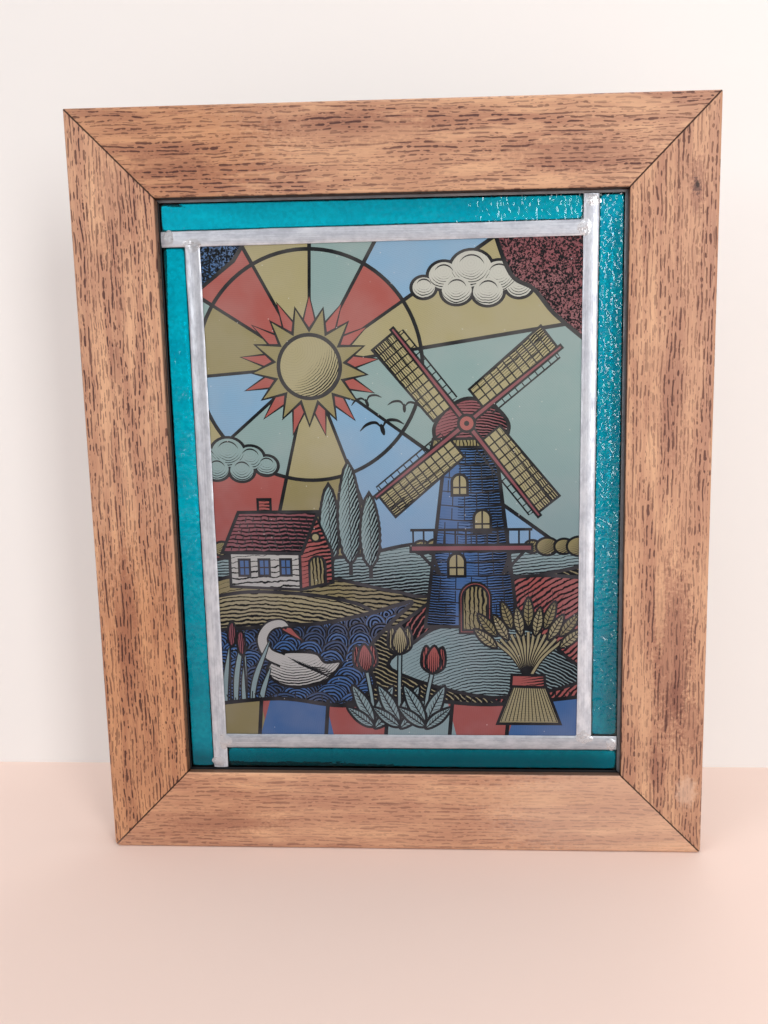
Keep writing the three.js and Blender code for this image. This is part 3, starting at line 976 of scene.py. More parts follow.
def draw_sky(d):
    """Wedges of sky round a low sun, cut apart by broad ink lines, with clouds and birds."""
    sun = np.array((54.0, 201.0))
    angles = (8, 33, 60, 88, 118, 147, 184, 220, 256, 290, 324, 368)
    paints = ("straw", "pale_blue", "sage", "straw", "brick", "sage",
              "straw", "brick", "olive", "pale_blue", "sage")
    for start, end, paint in zip(angles, angles[1:], paints):
        d.fill(np.concatenate([[sun], ring(*sun, 320, start=start, end=end, count=4)]), paint)
    for angle in angles[:-1]:
        d.stroke(moved([(26, 0), (320, 0)], sun, angle), 2.0)
    d.shape(ring(*sun, 60, count=80), "straw", 2.0,
            round_centre(sun, 2.2, sun + (0, 44), sun - (0, 64), 0, 0.3))
    for start, end, paint in zip(angles, angles[1:], paints[3:] + paints[:3]):
        d.fill(np.concatenate([[sun], ring(*sun, 59, start=start, end=end, count=12)]), paint)
    for angle in angles[:-1]:
        d.stroke(moved([(14, 0), (60, 0)], sun, angle), 1.7)
    for points, reach, turn, paint in ((13, 37, 5, "brick"), (13, 31, 19, "olive")):
        star = np.empty((2 * points, 2))
        star[0::2] = ring(*sun, reach, count=points)
        star[1::2] = moved(ring(0, 0, 19, count=points), sun, 180 / points)
        d.shape(moved(star - sun, sun, turn), paint, 1.5)
    d.shape(ring(*sun, 16.5, count=48), "straw", 2.0,
            round_centre(sun + (-9, 9), 1.3, sun, sun + (13, -13), 0, 0.65))

    def cloud(place, lumps, paint, size=1.0):
        circles = [(np.array(place) + np.array((x, y)) * size, r * size) for x, y, r in lumps]
        for reach, name in ((0.9, "ink"), (-0.8, paint)):
            for centre, radius in circles:
                low = centre - (0, radius)
                lines = None
                if name != "ink":
                    lines = round_centre(centre + (0, radius * 0.3), 1.3, centre, low, 0, 0.6)
                d.fill(ring(*centre, radius + reach, (radius + reach) * 0.86, count=30), name, lines)
        for centre, radius in circles:
            d.stroke(ring(*centre, radius * 0.62, start=20, end=150, count=12), 0.8, 0.9)

    lumps = ((-26, -1, 7), (26, -1, 8), (-15, 5, 9), (15, 4, 10), (0, 8, 12), (-8, -3, 9), (9, -4, 9))
    cloud((140, 241), lumps, "cream", 0.95)
    cloud((8, 150), lumps, "sage", 0.8)
    for x, y, size, tilt in ((92, 168, 1.0, 8), (104, 179, 0.75, -6), (84, 182, 0.7, 14)):
        for side in (-1, 1):
            wing = curve([(0, 0), (side * 3, 3.6), (side * 8, 3.2), (side * 12, 0.4)])
            d.stroke(moved(wing, (x, y), tilt, size), 1.7 * size, 0.8)
        d.fill(moved(ring(0, -0.6, 1.2, 3.2, count=14), (x, y), tilt + 8, size), "ink")

    edge = curve([(196, 214), (182, 226), (172, 238), (160, 246), (150, 272)])
    d.shape(np.concatenate([[(206, 272), (206, 206)], edge]), "maroon", 2.2, stipple(0.62))
    d.shape([(-8, 272), (27, 272), (16, 256), (-8, 238)], "blue", 2.2, stipple(0.9))


def draw_fields(d):
    """Rolling fields with furrows, hedges and grass."""
    def field(top, paint, lines=None, line=2.0):
        top = curve(top, steps=8)
        d.shape(np.concatenate([top, [(212, -12), (-12, -12)]]), paint, line, lines)

    field([(-12, 96), (30, 103), (70, 99), (112, 106), (160, 101), (212, 112)], "sage",
          straight(4, 1.7, (0, 104), (0, 84), 0.1, 0.6))
    bushes = ((2, 5.0), (11, 4.2), (112, 4.6), (120, 5.6), (172, 4.4), (180, 6.0), (189, 5.2), (197, 6.5))
    for x, size in bushes:
        d.shape(curve(moved(ring(0, 0, 1, 0.8, count=11), (x, 104), 0, size), True, 3), "olive", 1.3,
                round_centre((x - 4, 110), 1.0, (x - 2, 106), (x + size, 100), 0.1, 0.85))
    field([(-12, 84), (16, 90), (58, 88), (96, 80), (124, 78), (212, 96)], "olive",
          round_centre((70, -190), 2.3, (60, 92), (140, 60), 0.3, 0.65))
    brick = [(82, 30), (100, 62), (128, 80), (170, 88), (212, 86)]
    field(brick[1:], "brick", round_centre((250, -30), 2.6, (190, 88), (120, 40), 0.35, 0.74))
    field([(-12, 76), (20, 80), (64, 76), (88, 66), (110, 40), (212, -12)], "straw",
          round_centre((20, -120), 2.2, (20, 80), (20, 60), 0.25, 0.6))


def draw_mill(d):
    """A tower mill with a gallery, a boat cap and four lattice sails."""
    base, top, middle = 60.0, 160.0, 139.0

    def half(y):
        """Half the tower's width at a height."""
        return 25.5 - 12.5 * (y - base) / (top - base)

    def left(y):
        return (middle - half(y), y)

    def right(y):
        return (middle + half(y), y)

    knoll = [(94, 36), (108, 52), (124, 61), (150, 63), (172, 58), (190, 44), (200, 30), (150, 20)]
    d.shape(curve(knoll, True), "sage", 2.0,
            round_centre((150, -40), 1.7, (130, 62), (190, 40), 0.2, 0.7))
    body = [left(base), right(base), right(top), left(top)]
    d.shape(body, "blue", 2.0,
            round_centre((middle, 330), 1.45, (middle - 6, 90), (middle + 24, 96), 0.0, 1.0))
    lit = [(middle - half(base) + 1, base + 1), (middle - 9, base + 1),
           (middle - 6, top - 1), (middle - half(top) + 1, top - 1)]
    d.fill(lit, "blue", round_centre((middle, 330), 1.45, (middle - 10, 100), (middle - 24, 96), 0.0, 0.8))
    for y in np.arange(base + 7, top - 4, 7.5):
        rim = np.array([left(y), (middle, y - 1.4), right(y)])
        d.stroke(curve(rim, steps=6), 0.7, 0.3)
        for share in np.arange(0.12, 1.0, 0.19) + (0.09 if int(y) % 2 else 0):
            x = left(y)[0] + (right(y)[0] - left(y)[0]) * share
            d.stroke([(x, y - 1), (x - (share - 0.5) * 0.9, y + 5.6)], 0.55)
    for x, y, wide, tall in ((133, 132, 4.2, 7), (145, 112, 4.6, 7.5), (131, 88, 4.6, 8)):
        arch = np.concatenate([[(x - wide, y), (x + wide, y)], ring(x, y + tall, wide, end=180, count=12)])
        d.shape(arch, "straw", 1.5)
        d.stroke([(x, y), (x, y + tall + wide)], 0.9)
        d.stroke([(x - wide, y + tall * 0.6), (x + wide, y + tall * 0.6)], 0.9)
    door = np.concatenate([[(134, 58), (148, 58)], ring(141, 76, 7, end=180, count=14)])
    d.shape(widened(door, 1.6), "brick", 1.2)
    d.shape(door, "olive", 1.3, straight(90, 2.3, (138, 60), (148, 76), 0.2, 0.5))
    deck = 103.0
    for side in (-1, 1):
        for reach in (30, 22):
            d.stroke([(middle + side * reach, deck), (middle + side * (half(deck) - 3), deck - 14)], 1.7)
    d.shape([(106, deck - 1.4), (172, deck - 1.4), (172, deck + 2.2), (106, deck + 2.2)], "maroon", 1.4)
    for x in np.linspace(107.5, 170.5, 12):
        d.stroke([(x, deck + 2), (x, deck + 10)], 1.0)
    d.stroke([(106, deck + 10.4), (172, deck + 10.4)], 1.5)
    cap = curve([(120, 161), (120, 169), (127, 178), (138, 183), (151, 179), (159, 170), (158, 161)])
    d.shape(cap, "maroon", 2.0, round_centre((139, 120), 1.5, (128, 180), (154, 164), 0.1, 0.7))
    d.shape([(118, 157.5), (160, 157.5), (159, 162), (119, 162)], "olive", 1.5,
            straight(90, 1.8, (118, 160), (160, 160), 0.1, 0.6))
    hub = np.array((137.0, 170.0))

    def sail(turn):
        """A lattice sail along the first axis, turned about the hub."""
        def place(points):
            return moved(points, hub, turn)

        pale, dark = place([(30, 3)])[0], place([(34, 16)])[0]
        d.shape(place([(12, 1), (61, 1), (61, 15), (12, 13)]), "straw", 1.3,
                straight(turn, 1.3, pale, dark, 0.0, 0.45))
        for along in np.arange(17, 61, 4.4):
            d.stroke(place([(along, 1), (along, 14)]), 0.75)
        for across in (5.5, 10):
            d.stroke(place([(12, across), (61, across)]), 0.75)
        d.shape(place([(0, -1.5), (63, -1), (63, 1), (0, 1.5)]), "maroon", 1.1)
        d.stroke(place([(14, -1.5), (14, -4.5), (59, -4), (59, -1)]), 0.9)
        for along in np.arange(18, 58, 4.4):
            d.stroke(place([(along, -4.2), (along, -1)]), 0.6)

    for turn in (38, 128, 218, 308):
        sail(turn)
    d.shape(ring(*hub, 4.4, count=20), "brick", 1.5)
    d.fill(ring(*hub, 1.4, count=12), "ink")


def draw_farm(d):
    """A long farmhouse with a tiled roof, and three poplars beside it."""
    def poplar(x, foot, top, wide):
        t = np.linspace(0, 1, 26)
        ragged = 0.7 * np.abs(np.sin(t * 40)) * (t > 0.05) * (t < 0.95)
        spread = wide * np.sin(math.pi * t ** 0.8) ** 0.7 + ragged
        y = foot + 6 + (top - foot - 6) * t
        edge = np.concatenate([np.stack([x + spread, y], 1), np.stack([x - spread, y], 1)[-2:0:-1]])
        d.stroke([(x, foot), (x, foot + 10)], 2.2)
        d.shape(edge, "sage", 1.5,
                straight(62, 1.5, (x - wide * 0.7, foot), (x + wide * 1.2, foot), 0.1, 0.8))
        d.stroke([(x + 0.5, foot + 8), (x, top - 8)], 0.7, 0.5)

    poplar(62, 90, 139, 5.2)
    poplar(73, 89, 151, 6.0)
    poplar(84, 87, 134, 5.0)
    # Chimney, long wall, gable and roof
    for outline, paint, line, lines in (
        ([(23, 118), (30, 118), (30, 131), (23, 131)], "brick", 1.4,
         straight(0, 1.7, (22, 120), (30, 120), 0.1, 0.5)),
        ([(6, 83), (45, 81), (45, 103), (6, 103)], "cream", 1.6,
         straight(2, 3.0, (8, 100), (8, 82), 0.1, 0.35)),
        ([(45, 81), (63, 85), (63, 102), (54, 123), (45, 103)], "brick", 1.6,
         straight(12, 2.3, (46, 90), (64, 96), 0.1, 0.6)),
        ([(2, 102), (46, 101), (56, 124), (12, 124)], "maroon", 1.8,
         straight(-1, 2.1, (10, 122), (30, 102), 0.2, 0.6)),
    ):
        d.shape(outline, paint, line, lines)
    for k, y in enumerate(np.arange(104.5, 123, 3.1)):
        for x in np.arange(6 + (k % 2) * 2, 46, 4.2):
            slid = x + (y - 102) * 0.42
            d.stroke([(slid, y - 1.4), (slid + 0.7, y + 1.2)], 0.6)
    for x in (11, 22, 34):
        d.shape([(x, 89), (x + 6, 89), (x + 6, 98), (x, 98)], "blue", 1.3)
        d.stroke([(x + 3, 89), (x + 3, 98)], 0.7)
        d.stroke([(x, 93.5), (x + 6, 93.5)], 0.7)
    door = np.concatenate([[(50, 82.4), (59, 84.4)], ring(54.5, 95, 4.5, end=180, count=12)])
    d.shape(door, "olive", 1.3, straight(90, 2.0, (50, 84), (58, 90), 0.15, 0.5))
    d.shape(ring(54, 110, 2.4, count=16), "straw", 1.2)


def draw_stream(d):
    """A stream of scale-like waves, with reeds and a swan."""
    banks = curve([(106, 74), (84, 68), (54, 62), (20, 60), (-14, 52), (-14, 6),
                   (30, 12), (62, 14), (84, 26), (80, 44), (94, 62)], True, 8)
    d.shape(banks, "deep_blue", 2.2)
    inner = widened(banks, -1.1)
    for row, y in enumerate(np.arange(70, 2, -5.2)):
        wide = 5.0 + (70 - y) * 0.10
        for x in np.arange(-8 + (row % 2) * wide, 112, 2 * wide):
            centre = (x, y - wide * 0.6)
            d.fill(ring(*centre, wide * 1.1, count=22), "ink", within=inner)
            d.fill(ring(*centre, wide * 1.1 - 0.5, count=22), "blue" if (row + int(x)) % 3 else "deep_blue",
                   round_centre(centre, 1.75, (x, y), (x, y - 8), 0.48, 0.7), inner)

    body = [(27, 41), (24, 34), (32, 27), (46, 26), (58, 30),
            (66, 40), (57, 40), (52, 45), (40, 46), (32, 45)]
    d.shape(curve(body, True), "cream", 1.7, round_centre((40, 60), 1.5, (44, 42), (44, 26), 0.0, 0.6))
    neck = curve([(33, 41), (25, 45), (22, 53), (26, 60), (33, 62), (37, 58)])
    d.fill(ribbon(neck, np.linspace(8.6, 5.2, len(neck))), "ink")
    d.fill(ribbon(neck, np.linspace(6.2, 3.2, len(neck))), "cream")
    d.shape(curve([(33, 59), (37, 56), (45, 52), (41, 57), (38, 60)], True, 4), "brick", 1.1)
    d.fill(ring(35.4, 59.4, 0.8, count=8), "ink")
    for k in range(6):
        feather = [(36 + k * 2.6, 43 - k), (46 + k * 2.4, 37.5 - k * 1.1), (57 + k * 1.2, 37 - k * 0.6)]
        d.stroke(curve(feather, steps=5), 0.9, 0.8)
    for x, lean, tall in ((-1, 4, 44), (5, 7, 54), (10, 2, 40), (14, 12, 48), (19, 7, 33)):
        blade = curve([(x, 4), (x + lean * 0.2, 4 + tall * 0.5), (x + lean, 4 + tall)])
        d.stroke(blade, 4.2, 0.75)
        d.stroke(blade, 2.6, 0.95, "sage")
    for x, lean, tall in ((2, 3, 60), (12, -2, 55)):
        stalk = curve([(x, 4), (x + lean * 0.4, 4 + tall * 0.6), (x + lean, 4 + tall)])
        d.stroke(stalk, 1.2)
        d.shape(moved(ring(0, 0, 2.4, 7, count=18), stalk[-1] - (0, 8), -lean), "maroon", 1.3,
                straight(90, 1.2, stalk[-1] - (2, 0), stalk[-1] + (3, 0), 0.1, 0.7))


def draw_foreground(d, rng):
    """Ground in broad pieces, tulips and a sheaf of wheat."""
    ground = curve([(-14, 15), (30, 19), (66, 15), (104, 19), (150, 16), (212, 22)], steps=8)
    d.shape(np.concatenate([ground, [(212, -14), (-14, -14)]]), "brick", 2.2)
    for x1, x2, paint in ((-14, 20, "olive"), (20, 58, "blue"), (92, 128, "sage"), (160, 212, "blue")):
        top = ground[(ground[:, 0] > x1) & (ground[:, 0] < x2)] - (0, 1.1)
        d.fill(np.concatenate([top, [(x2 + 5, -14), (x1 - 5, -14)]]), paint)
    for x in (20, 58, 92, 128, 160):
        d.stroke([(x, 18.5), (x - 3, -14)], 2.2)
    for x in np.arange(-4, 200, 3.1):
        tuft = rng.uniform(-2, 2, 3)
        y = np.interp(x, ground[:, 0], ground[:, 1])
        d.stroke([(x, y - 1), (x + tuft[0], y + 3.2 + tuft[1])], 1.2, 0.5)

    def leaf(place, turn, size, paint="sage"):
        edge = curve([(0, 0), (5, 3.6), (14, 4.2), (24, 0.6), (14, -3.2), (5, -2.6)], True, 5)
        d.shape(moved(edge, place, turn, size), paint, 1.4)
        rib = moved(curve([(0, 0), (12, 0.7), (22, 0.6)], steps=5), place, turn, size)
        d.stroke(rib, 0.8, 0.4)
        for along in np.arange(4, 20, 2.4):
            for side in (1, -1):
                vein = moved([(along, 0.5), (along + 2.6, side * 2.5)], place, turn, size)
                d.stroke(vein, 0.5, 0.3)

    for x, tall, lean, paint in ((84, 34, -4, "brick"), (98, 44, 1, "straw"), (112, 33, 5, "brick")):
        stem = curve([(x, 2), (x + lean * 0.3, 2 + tall * 0.5), (x + lean, 2 + tall)])
        d.stroke(stem, 3.0)
        d.stroke(stem, 1.4, paint="sage")
        for turn, size, rise in ((62, 1.05, 4), (118, 1.0, 6), (38, 0.8, 2), (142, 0.78, 3)):
            leaf((x + lean * 0.1, rise), turn, size)
        bloom = stem[-1]
        for side in (-1, 1):
            petal = [(0, -1), (side * 6, 2), (side * 6.6, 9), (side * 4.4, 14), (side * 0.6, 8)]
            d.shape(moved(curve(petal, True, 5), bloom, -lean), paint, 1.4,
                    straight(90, 1.2, bloom, bloom + (side * 8, 0), 0.0, 0.75))
        petal = [(0, -1.5), (4, 3), (3.6, 9), (0, 14.5), (-3.6, 9), (-4, 3)]
        d.shape(moved(curve(petal, True, 5), bloom, -lean), paint, 1.4,
                straight(90, 1.1, bloom + (0, 12), bloom, 0.0, 0.6))

    place = np.array((170.0, 30.0))
    for turn in np.linspace(-46, 46, 13):
        stalk = moved(curve([(0, -2), (1.6 * turn / 46, 14), (7 * turn / 46, 27)]), place, -turn * 0.55)
        d.stroke(stalk, 2.6)
        d.stroke(stalk, 1.3, paint="straw")
    d.shape(place + np.array([(-17, -25), (18, -25), (8, 1), (-7, 1)]), "straw", 1.6,
            round_centre(place + (0, 500), 1.0, place, place + (0, -25), 0.0, 0.1))
    for x in np.linspace(-15, 16, 15):
        d.stroke(place + np.array([(x * 0.42, 0), (x, -23.6)]), 0.75, 0.4)
    for k, turn in enumerate(np.linspace(-50, 50, 11)):
        reach = 33 + (k % 2) * 5
        aslant = math.radians(turn * 0.9)
        tip = place + reach * np.array((math.sin(aslant), math.cos(aslant)))
        ear = curve([(0, -8), (2.7, -3), (2.5, 3), (0, 8.5), (-2.5, 3), (-2.7, -3)], True, 4)
        d.shape(moved(ear, tip, -turn), "olive" if reach > 33 else "straw", 1.2)
        d.stroke(moved([(0, -7), (0, 7)], tip, -turn), 0.6)
        for y in np.arange(-5.5, 6, 2.2):
            d.stroke(moved([(-2.2, y + 1.4), (0, y), (2.2, y + 1.4)], tip, -turn), 0.55)
        for x in (-2.2, 0, 2.2):
            d.stroke(moved([(x * 0.4, 7), (x * 1.6, 13.5)], tip, -turn), 0.5, 0.5)
    d.shape(place + np.array([(-9.5, -3.6), (9.5, -4.2), (9, 2.6), (-9, 3)]), "brick", 1.5,
            straight(4, 1.5, place, place + (9, 0), 0.2, 0.6))


def draw_scene(paints):
    """The whole painted scene, from the sky forwards."""
    rng = np.random.default_rng(7)
    d = Drawing(paints)
    draw_sky(d)
    draw_fields(d)
    draw_farm(d)
    draw_mill(d)
    draw_stream(d)
    draw_foreground(d, rng)
    return d.shapes


def tiled_triangles(shapes, low, high, tiles):
    """Triangles of the rectangle low..high whose sides keep to every shape's outline.

    The outlines are cut where they cross a grid of tiles, and each tile gets a constrained
    Delaunay triangulation of its own. Both tiles at a border are given the same border points,
    so that they meet. Gives the points, the triangles and the last shape over each triangle.
    """
    grid = [np.round(np.linspace(low[a], high[a], tiles[a] + 1), 3) for a in (0, 1)]
    starts = np.round(np.concatenate([s[0] for s in shapes]), 3)
    ends = np.round(np.concatenate([np.roll(s[0], -1, 0) for s in shapes]), 3)
    for axis in (0, 1):
        for line in grid[axis]:
            crosses = (starts[:, axis] - line) * (ends[:, axis] - line) < 0
            a, b = starts[crosses], ends[crosses]
            share = (line - a[:, axis]) / (b[:, axis] - a[:, axis])
            cut = np.round(a + (b - a) * share[:, None], 3)
            cut[:, axis] = line
            starts = np.concatenate([starts[~crosses], a, cut])
            ends = np.concatenate([ends[~crosses], cut, b])
    middles = (starts + ends) / 2
    kept = np.all((middles > low) & (middles < high), 1) & np.any(starts != ends, 1)
    starts, ends, middles = starts[kept], ends[kept], middles[kept]
    column, row = (np.clip(np.searchsorted(grid[a], middles[:, a]) - 1, 0, tiles[a] - 1) for a in (0, 1))
    ends_all = np.unique(np.concatenate([starts, ends]), axis=0)
    boxes = np.array([(*s[0].min(0), *s[0].max(0)) for s in shapes])

    points, triangles, owners = [], [], []
    count = 0
    for i in range(tiles[0]):
        for j in range(tiles[1]):
            x1, x2, y1, y2 = grid[0][i], grid[0][i + 1], grid[1][j], grid[1][j + 1]
            mine = (column == i) & (row == j)
            rim = []
            for axis, line, a, b in ((0, x1, y1, y2), (0, x2, y1, y2), (1, y1, x1, x2), (1, y2, x1, x2)):
                on = ends_all[np.abs(ends_all[:, axis] - line) < 1e-6, 1 - axis]
                on = np.unique(np.concatenate([[a, b], on[(on > a) & (on < b)]]))
                side = np.empty((len(on), 2))
                side[:, axis], side[:, 1 - axis] = line, on
                rim.append(np.stack([side[:-1], side[1:]], 1))
            edges = np.concatenate([np.stack([starts[mine], ends[mine]], 1), *rim])
            spots, index = np.unique(edges.reshape(-1, 2), axis=0, return_inverse=True)
            index = np.unique(np.sort(index.reshape(-1, 2), 1), axis=0)
            index = index[index[:, 0] != index[:, 1]]
            found = delaunay_2d_cdt([Vector(s) for s in spots], index.tolist(), [], 0, 1e-4, False)
            spots = np.array([tuple(v) for v in found[0]])
            corners = np.array([f for f in found[2] if len(f) == 3])
            centres = spots[corners].mean(1)
            owner = np.full(len(corners), -1)
            near = (boxes[:, 0] < x2) & (boxes[:, 2] > x1) & (boxes[:, 1] < y2) & (boxes[:, 3] > y1)
            for k in np.nonzero(near)[0]:
                outline, within = shapes[k][0], shapes[k][4]
                box = boxes[k]
                close = np.nonzero(np.all((centres > box[:2]) & (centres < box[2:]), 1))[0]
                hit = close[covers(outline, centres[close])]
                owner[hit if within is None else hit[covers(within, centres[hit])]] = k
            points.append(spots)
            triangles.append(corners + count)
            owners.append(owner)
            count += len(spots)
    points, index = np.unique(np.round(np.concatenate(points), 3), axis=0, return_inverse=True)
    triangles, owners = index.reshape(-1)[np.concatenate(triangles)], np.concatenate(owners)
    whole = np.all(triangles != np.roll(triangles, 1, 1), 1)
    return points, triangles[whole], owners[whole]


def enamel_material(looks):
    """Fired enamel: the painted colour, engraved with ink lines or stipple, with a painted hazy sheen, and
    finely specked.
    """
    material, tree, shader, coordinates = new_material("Fired enamel")
    per_mm = 1 / MM
    paint = stored(tree, "Paint", "Color")
    lines = stored(tree, "Lines", "Vector")
    share = stored(tree, "Share")
    centre = add(tree, "ShaderNodeSeparateXYZ", {0: lines}).outputs
    here = add(tree, "ShaderNodeSeparateXYZ", {0: coordinates}).outputs
    flat = placed(tree, coordinates, (per_mm,) * 3)
    ink = (*looks.paint_ink, 1)

    dx = calculate(tree, "SUBTRACT", here[0], centre[0])
    dz = calculate(tree, "SUBTRACT", here[2], centre[1])
    squared = calculate(tree, "MULTIPLY_ADD", dx, dx, calculate(tree, "MULTIPLY", dz, dz))
    distance = calculate(tree, "SQRT", squared)
    pitch = calculate(tree, "MAXIMUM", centre[2], 0.2 * MM)
    waver = noise(tree, flat, 0.16, detail=2.0)
    turns = calculate(tree, "MULTIPLY_ADD", waver, 1.3, calculate(tree, "DIVIDE", distance, pitch))
    saw = calculate(tree, "PINGPONG", turns, 0.5)
    rough_edge = noise(tree, flat, 1.1, detail=3.0, roughness=0.7)
    held = calculate(tree, "MINIMUM", share, 0.74)
    wide = calculate(tree, "MULTIPLY_ADD", rough_edge, 0.5, calculate(tree, "SUBTRACT", held, 0.25))
    wide = calculate(tree, "MULTIPLY", wide, calculate(tree, "GREATER_THAN", share, 0.02))
    past = calculate(tree, "SUBTRACT", calculate(tree, "MULTIPLY", wide, 0.5), saw)
    cut = between(tree, past, -0.05, 0.05)

    grains = noise(tree, flat, 0.95, detail=2.0, roughness=0.6, distortion=0.6)
    grains = calculate(tree, "ADD", grains, calculate(tree, "MULTIPLY", share, 0.12))
    stippled = between(tree, grains, 0.5, 0.62)
    is_stipple = calculate(tree, "MULTIPLY", calculate(tree, "LESS_THAN", centre[2], 0.1 * MM),
                           calculate(tree, "GREATER_THAN", share, 0.02))
    mask = add(tree, "ShaderNodeMix", {0: is_stipple, 2: cut, 3: stippled}, data_type="FLOAT").outputs[0]

    # Painted reflection: pale clouds of haze over the paint, for a soft sheen
    sheen_clouds = noise(tree, flat, 0.035, detail=3.0)
    tone = blend(tree, between(tree, sheen_clouds, 0.3, 0.7, 0.0, 0.16), paint, (*looks.enamel_sheen_haze, 1))
    tone = blend(tree, mask, tone, ink)
    lower = between(tree, here[2], MIDDLE_Z + 60 * MM, MIDDLE_Z - 60 * MM)
    tone = blend(tree, lower, tone, (*looks.shaded, 1), "MULTIPLY")
    cells = add(tree, "ShaderNodeTexVoronoi", {"Vector": flat, "Scale": 0.17, "Randomness": 1.0})
    specks = between(tree, cells.outputs["Distance"], 0.07, 0.03, 0.0, 0.5)
    tone = blend(tree, specks, tone, (*looks.dust, 1))
    tree.links.new(tone, shader.inputs["Base Color"])
    tree.links.new(between(tree, mask, 0.0, 1.0, 0.42, 0.34), shader.inputs["Roughness"])
    shader.inputs["Specular IOR Level"].default_value = 0.08
    bumped(tree, shader, mask, 0.02 * MM)
    return material


def build_picture(sizes, looks):
    """The painted pane: its front is the scene in flat triangles, its sides and back are clear glass."""
    corner = node_plan("picture_glass")
    low = -np.array(HIDDEN_RIM)
    high = np.array(PICTURE) + HIDDEN_RIM
    shapes = draw_scene(Paints(looks))
    points, triangles, owners = tiled_triangles(shapes, low, high, (11, 15))

    def on_pane(flat):
        """Picture millimetres to (x, z) in metres: a two-way blend of the pane's corners."""
        u, v = ((flat - low) / (high - low)).T[:, :, None]
        return (corner[3] * (1 - u) + corner[2] * u) * (1 - v) + (corner[0] * (1 - u) + corner[1] * u) * v

    def far_on_pane(flat):
        """The same for a place that may be far off: the straight part of that blend alone."""
        u, v = ((flat - low) / (high - low)).T[:, :, None]
        right = (corner[2] - corner[3] + corner[1] - corner[0]) / 2
        up = (corner[0] - corner[3] + corner[1] - corner[2]) / 2
        return np.mean(corner, 0) + (u - 0.5) * right + (v - 0.5) * up

    plan = on_pane(points)
    front = np.stack([plan[:, 0], np.full(len(plan), GLASS_FRONT), plan[:, 1]], 1)
    back = np.array([(c[0], GLASS_BACK, c[1]) for c in (corner[3], corner[2], corner[1], corner[0])])
    # Sides: the front's rim points along one edge, then the two back corners below them
    base = len(front)
    order = [np.argsort(points[:, axis]) for axis in (0, 1)]
    rims = []
    borders = ((0, 1, low[1], 1), (1, 0, high[0], 1), (0, 1, high[1], -1), (1, 0, low[0], -1))
    for axis, across, line, turn in borders:
        rims.append([i for i in order[axis] if abs(points[i, across] - line) < 1e-6][::turn])
    sides = [rim[::-1] + [base + k, base + (k + 1) % 4] for k, rim in enumerate(rims)]
    faces = triangles.tolist() + sides + [[base + 3, base + 2, base + 1, base]]

    enamel = enamel_material(looks)
    clear, _, shader, _ = new_material("Clear window glass")
    shader.inputs["Base Color"].default_value = (*looks.clear_glass, 1)
    shader.inputs["Roughness"].default_value = 0.03
    shader.inputs["Transmission Weight"].default_value = 1.0
    pane = make_piece("painted_pane", np.concatenate([front, back]), faces, [enamel, clear],
                      ["picture_glass"], 30.0)
    mesh = pane.data
    count = len(triangles)
    glass = np.zeros(len(mesh.polygons), int)
    glass[count:] = 1
    mesh.polygons.foreach_set("material_index", glass)

    paint = np.array([s[1] for s in shapes])[owners]
    lines = np.array([s[2] for s in shapes])[owners]
    slope = np.array([s[3] for s in shapes])[owners]
    centres = far_on_pane(lines[:, :2])
    spots = points[triangles]
    share = slope[:, None, 0] + np.sum(slope[:, None, 1:] * spots, 2)
    loops = len(mesh.loops)

    def attribute(name, kind, width, values):
        layer = mesh.attributes.new(name, kind, "CORNER")
        full = np.zeros((loops, width))
        full[:3 * count] = values
        field = {"FLOAT_COLOR": "color", "FLOAT_VECTOR": "vector", "FLOAT": "value"}[kind]
        layer.data.foreach_set(field, full.ravel())

    attribute("Paint", "FLOAT_COLOR", 4, np.repeat(np.concatenate([paint, np.ones((count, 1))], 1), 3, 0))
    attribute("Lines", "FLOAT_VECTOR", 3, np.repeat(np.concatenate([centres, lines[:, 2:] * MM], 1), 3, 0))
    attribute("Share", "FLOAT", 1, share.reshape(-1, 1))


# Stage

def stage_material(name, colour):
    material, tree, shader, _ = new_material(name)
    shader.inputs["Base Color"].default_value = (*colour, 1)
    shader.inputs["Roughness"].default_value = 0.8
    shader.inputs["Specular IOR Level"].default_value = 0.2
    return material, tree, shader


def stage_plane(name, corners, material):
    mesh = bpy.data.meshes.new(name)
    mesh.from_pydata(corners, [], [(0, 1, 2, 3)])
    mesh.materials.append(material)
    plane = bpy.data.objects.new(name, mesh)
    bpy.context.collection.objects.link(plane)
    return plane


def area_light(name, place, target, size, power, colour):
    light = bpy.data.lights.new(name, "AREA")
    light.shape = "RECTANGLE"
    light.size, light.size_y = size
    light.energy = power
    light.color = colour
    lamp = bpy.data.objects.new(name, light)
    lamp.location = place
    lamp.rotation_euler = (Vector(target) - Vector(place)).to_track_quat("-Z", "Y").to_euler()
    bpy.context.collection.objects.link(lamp)
    return lamp


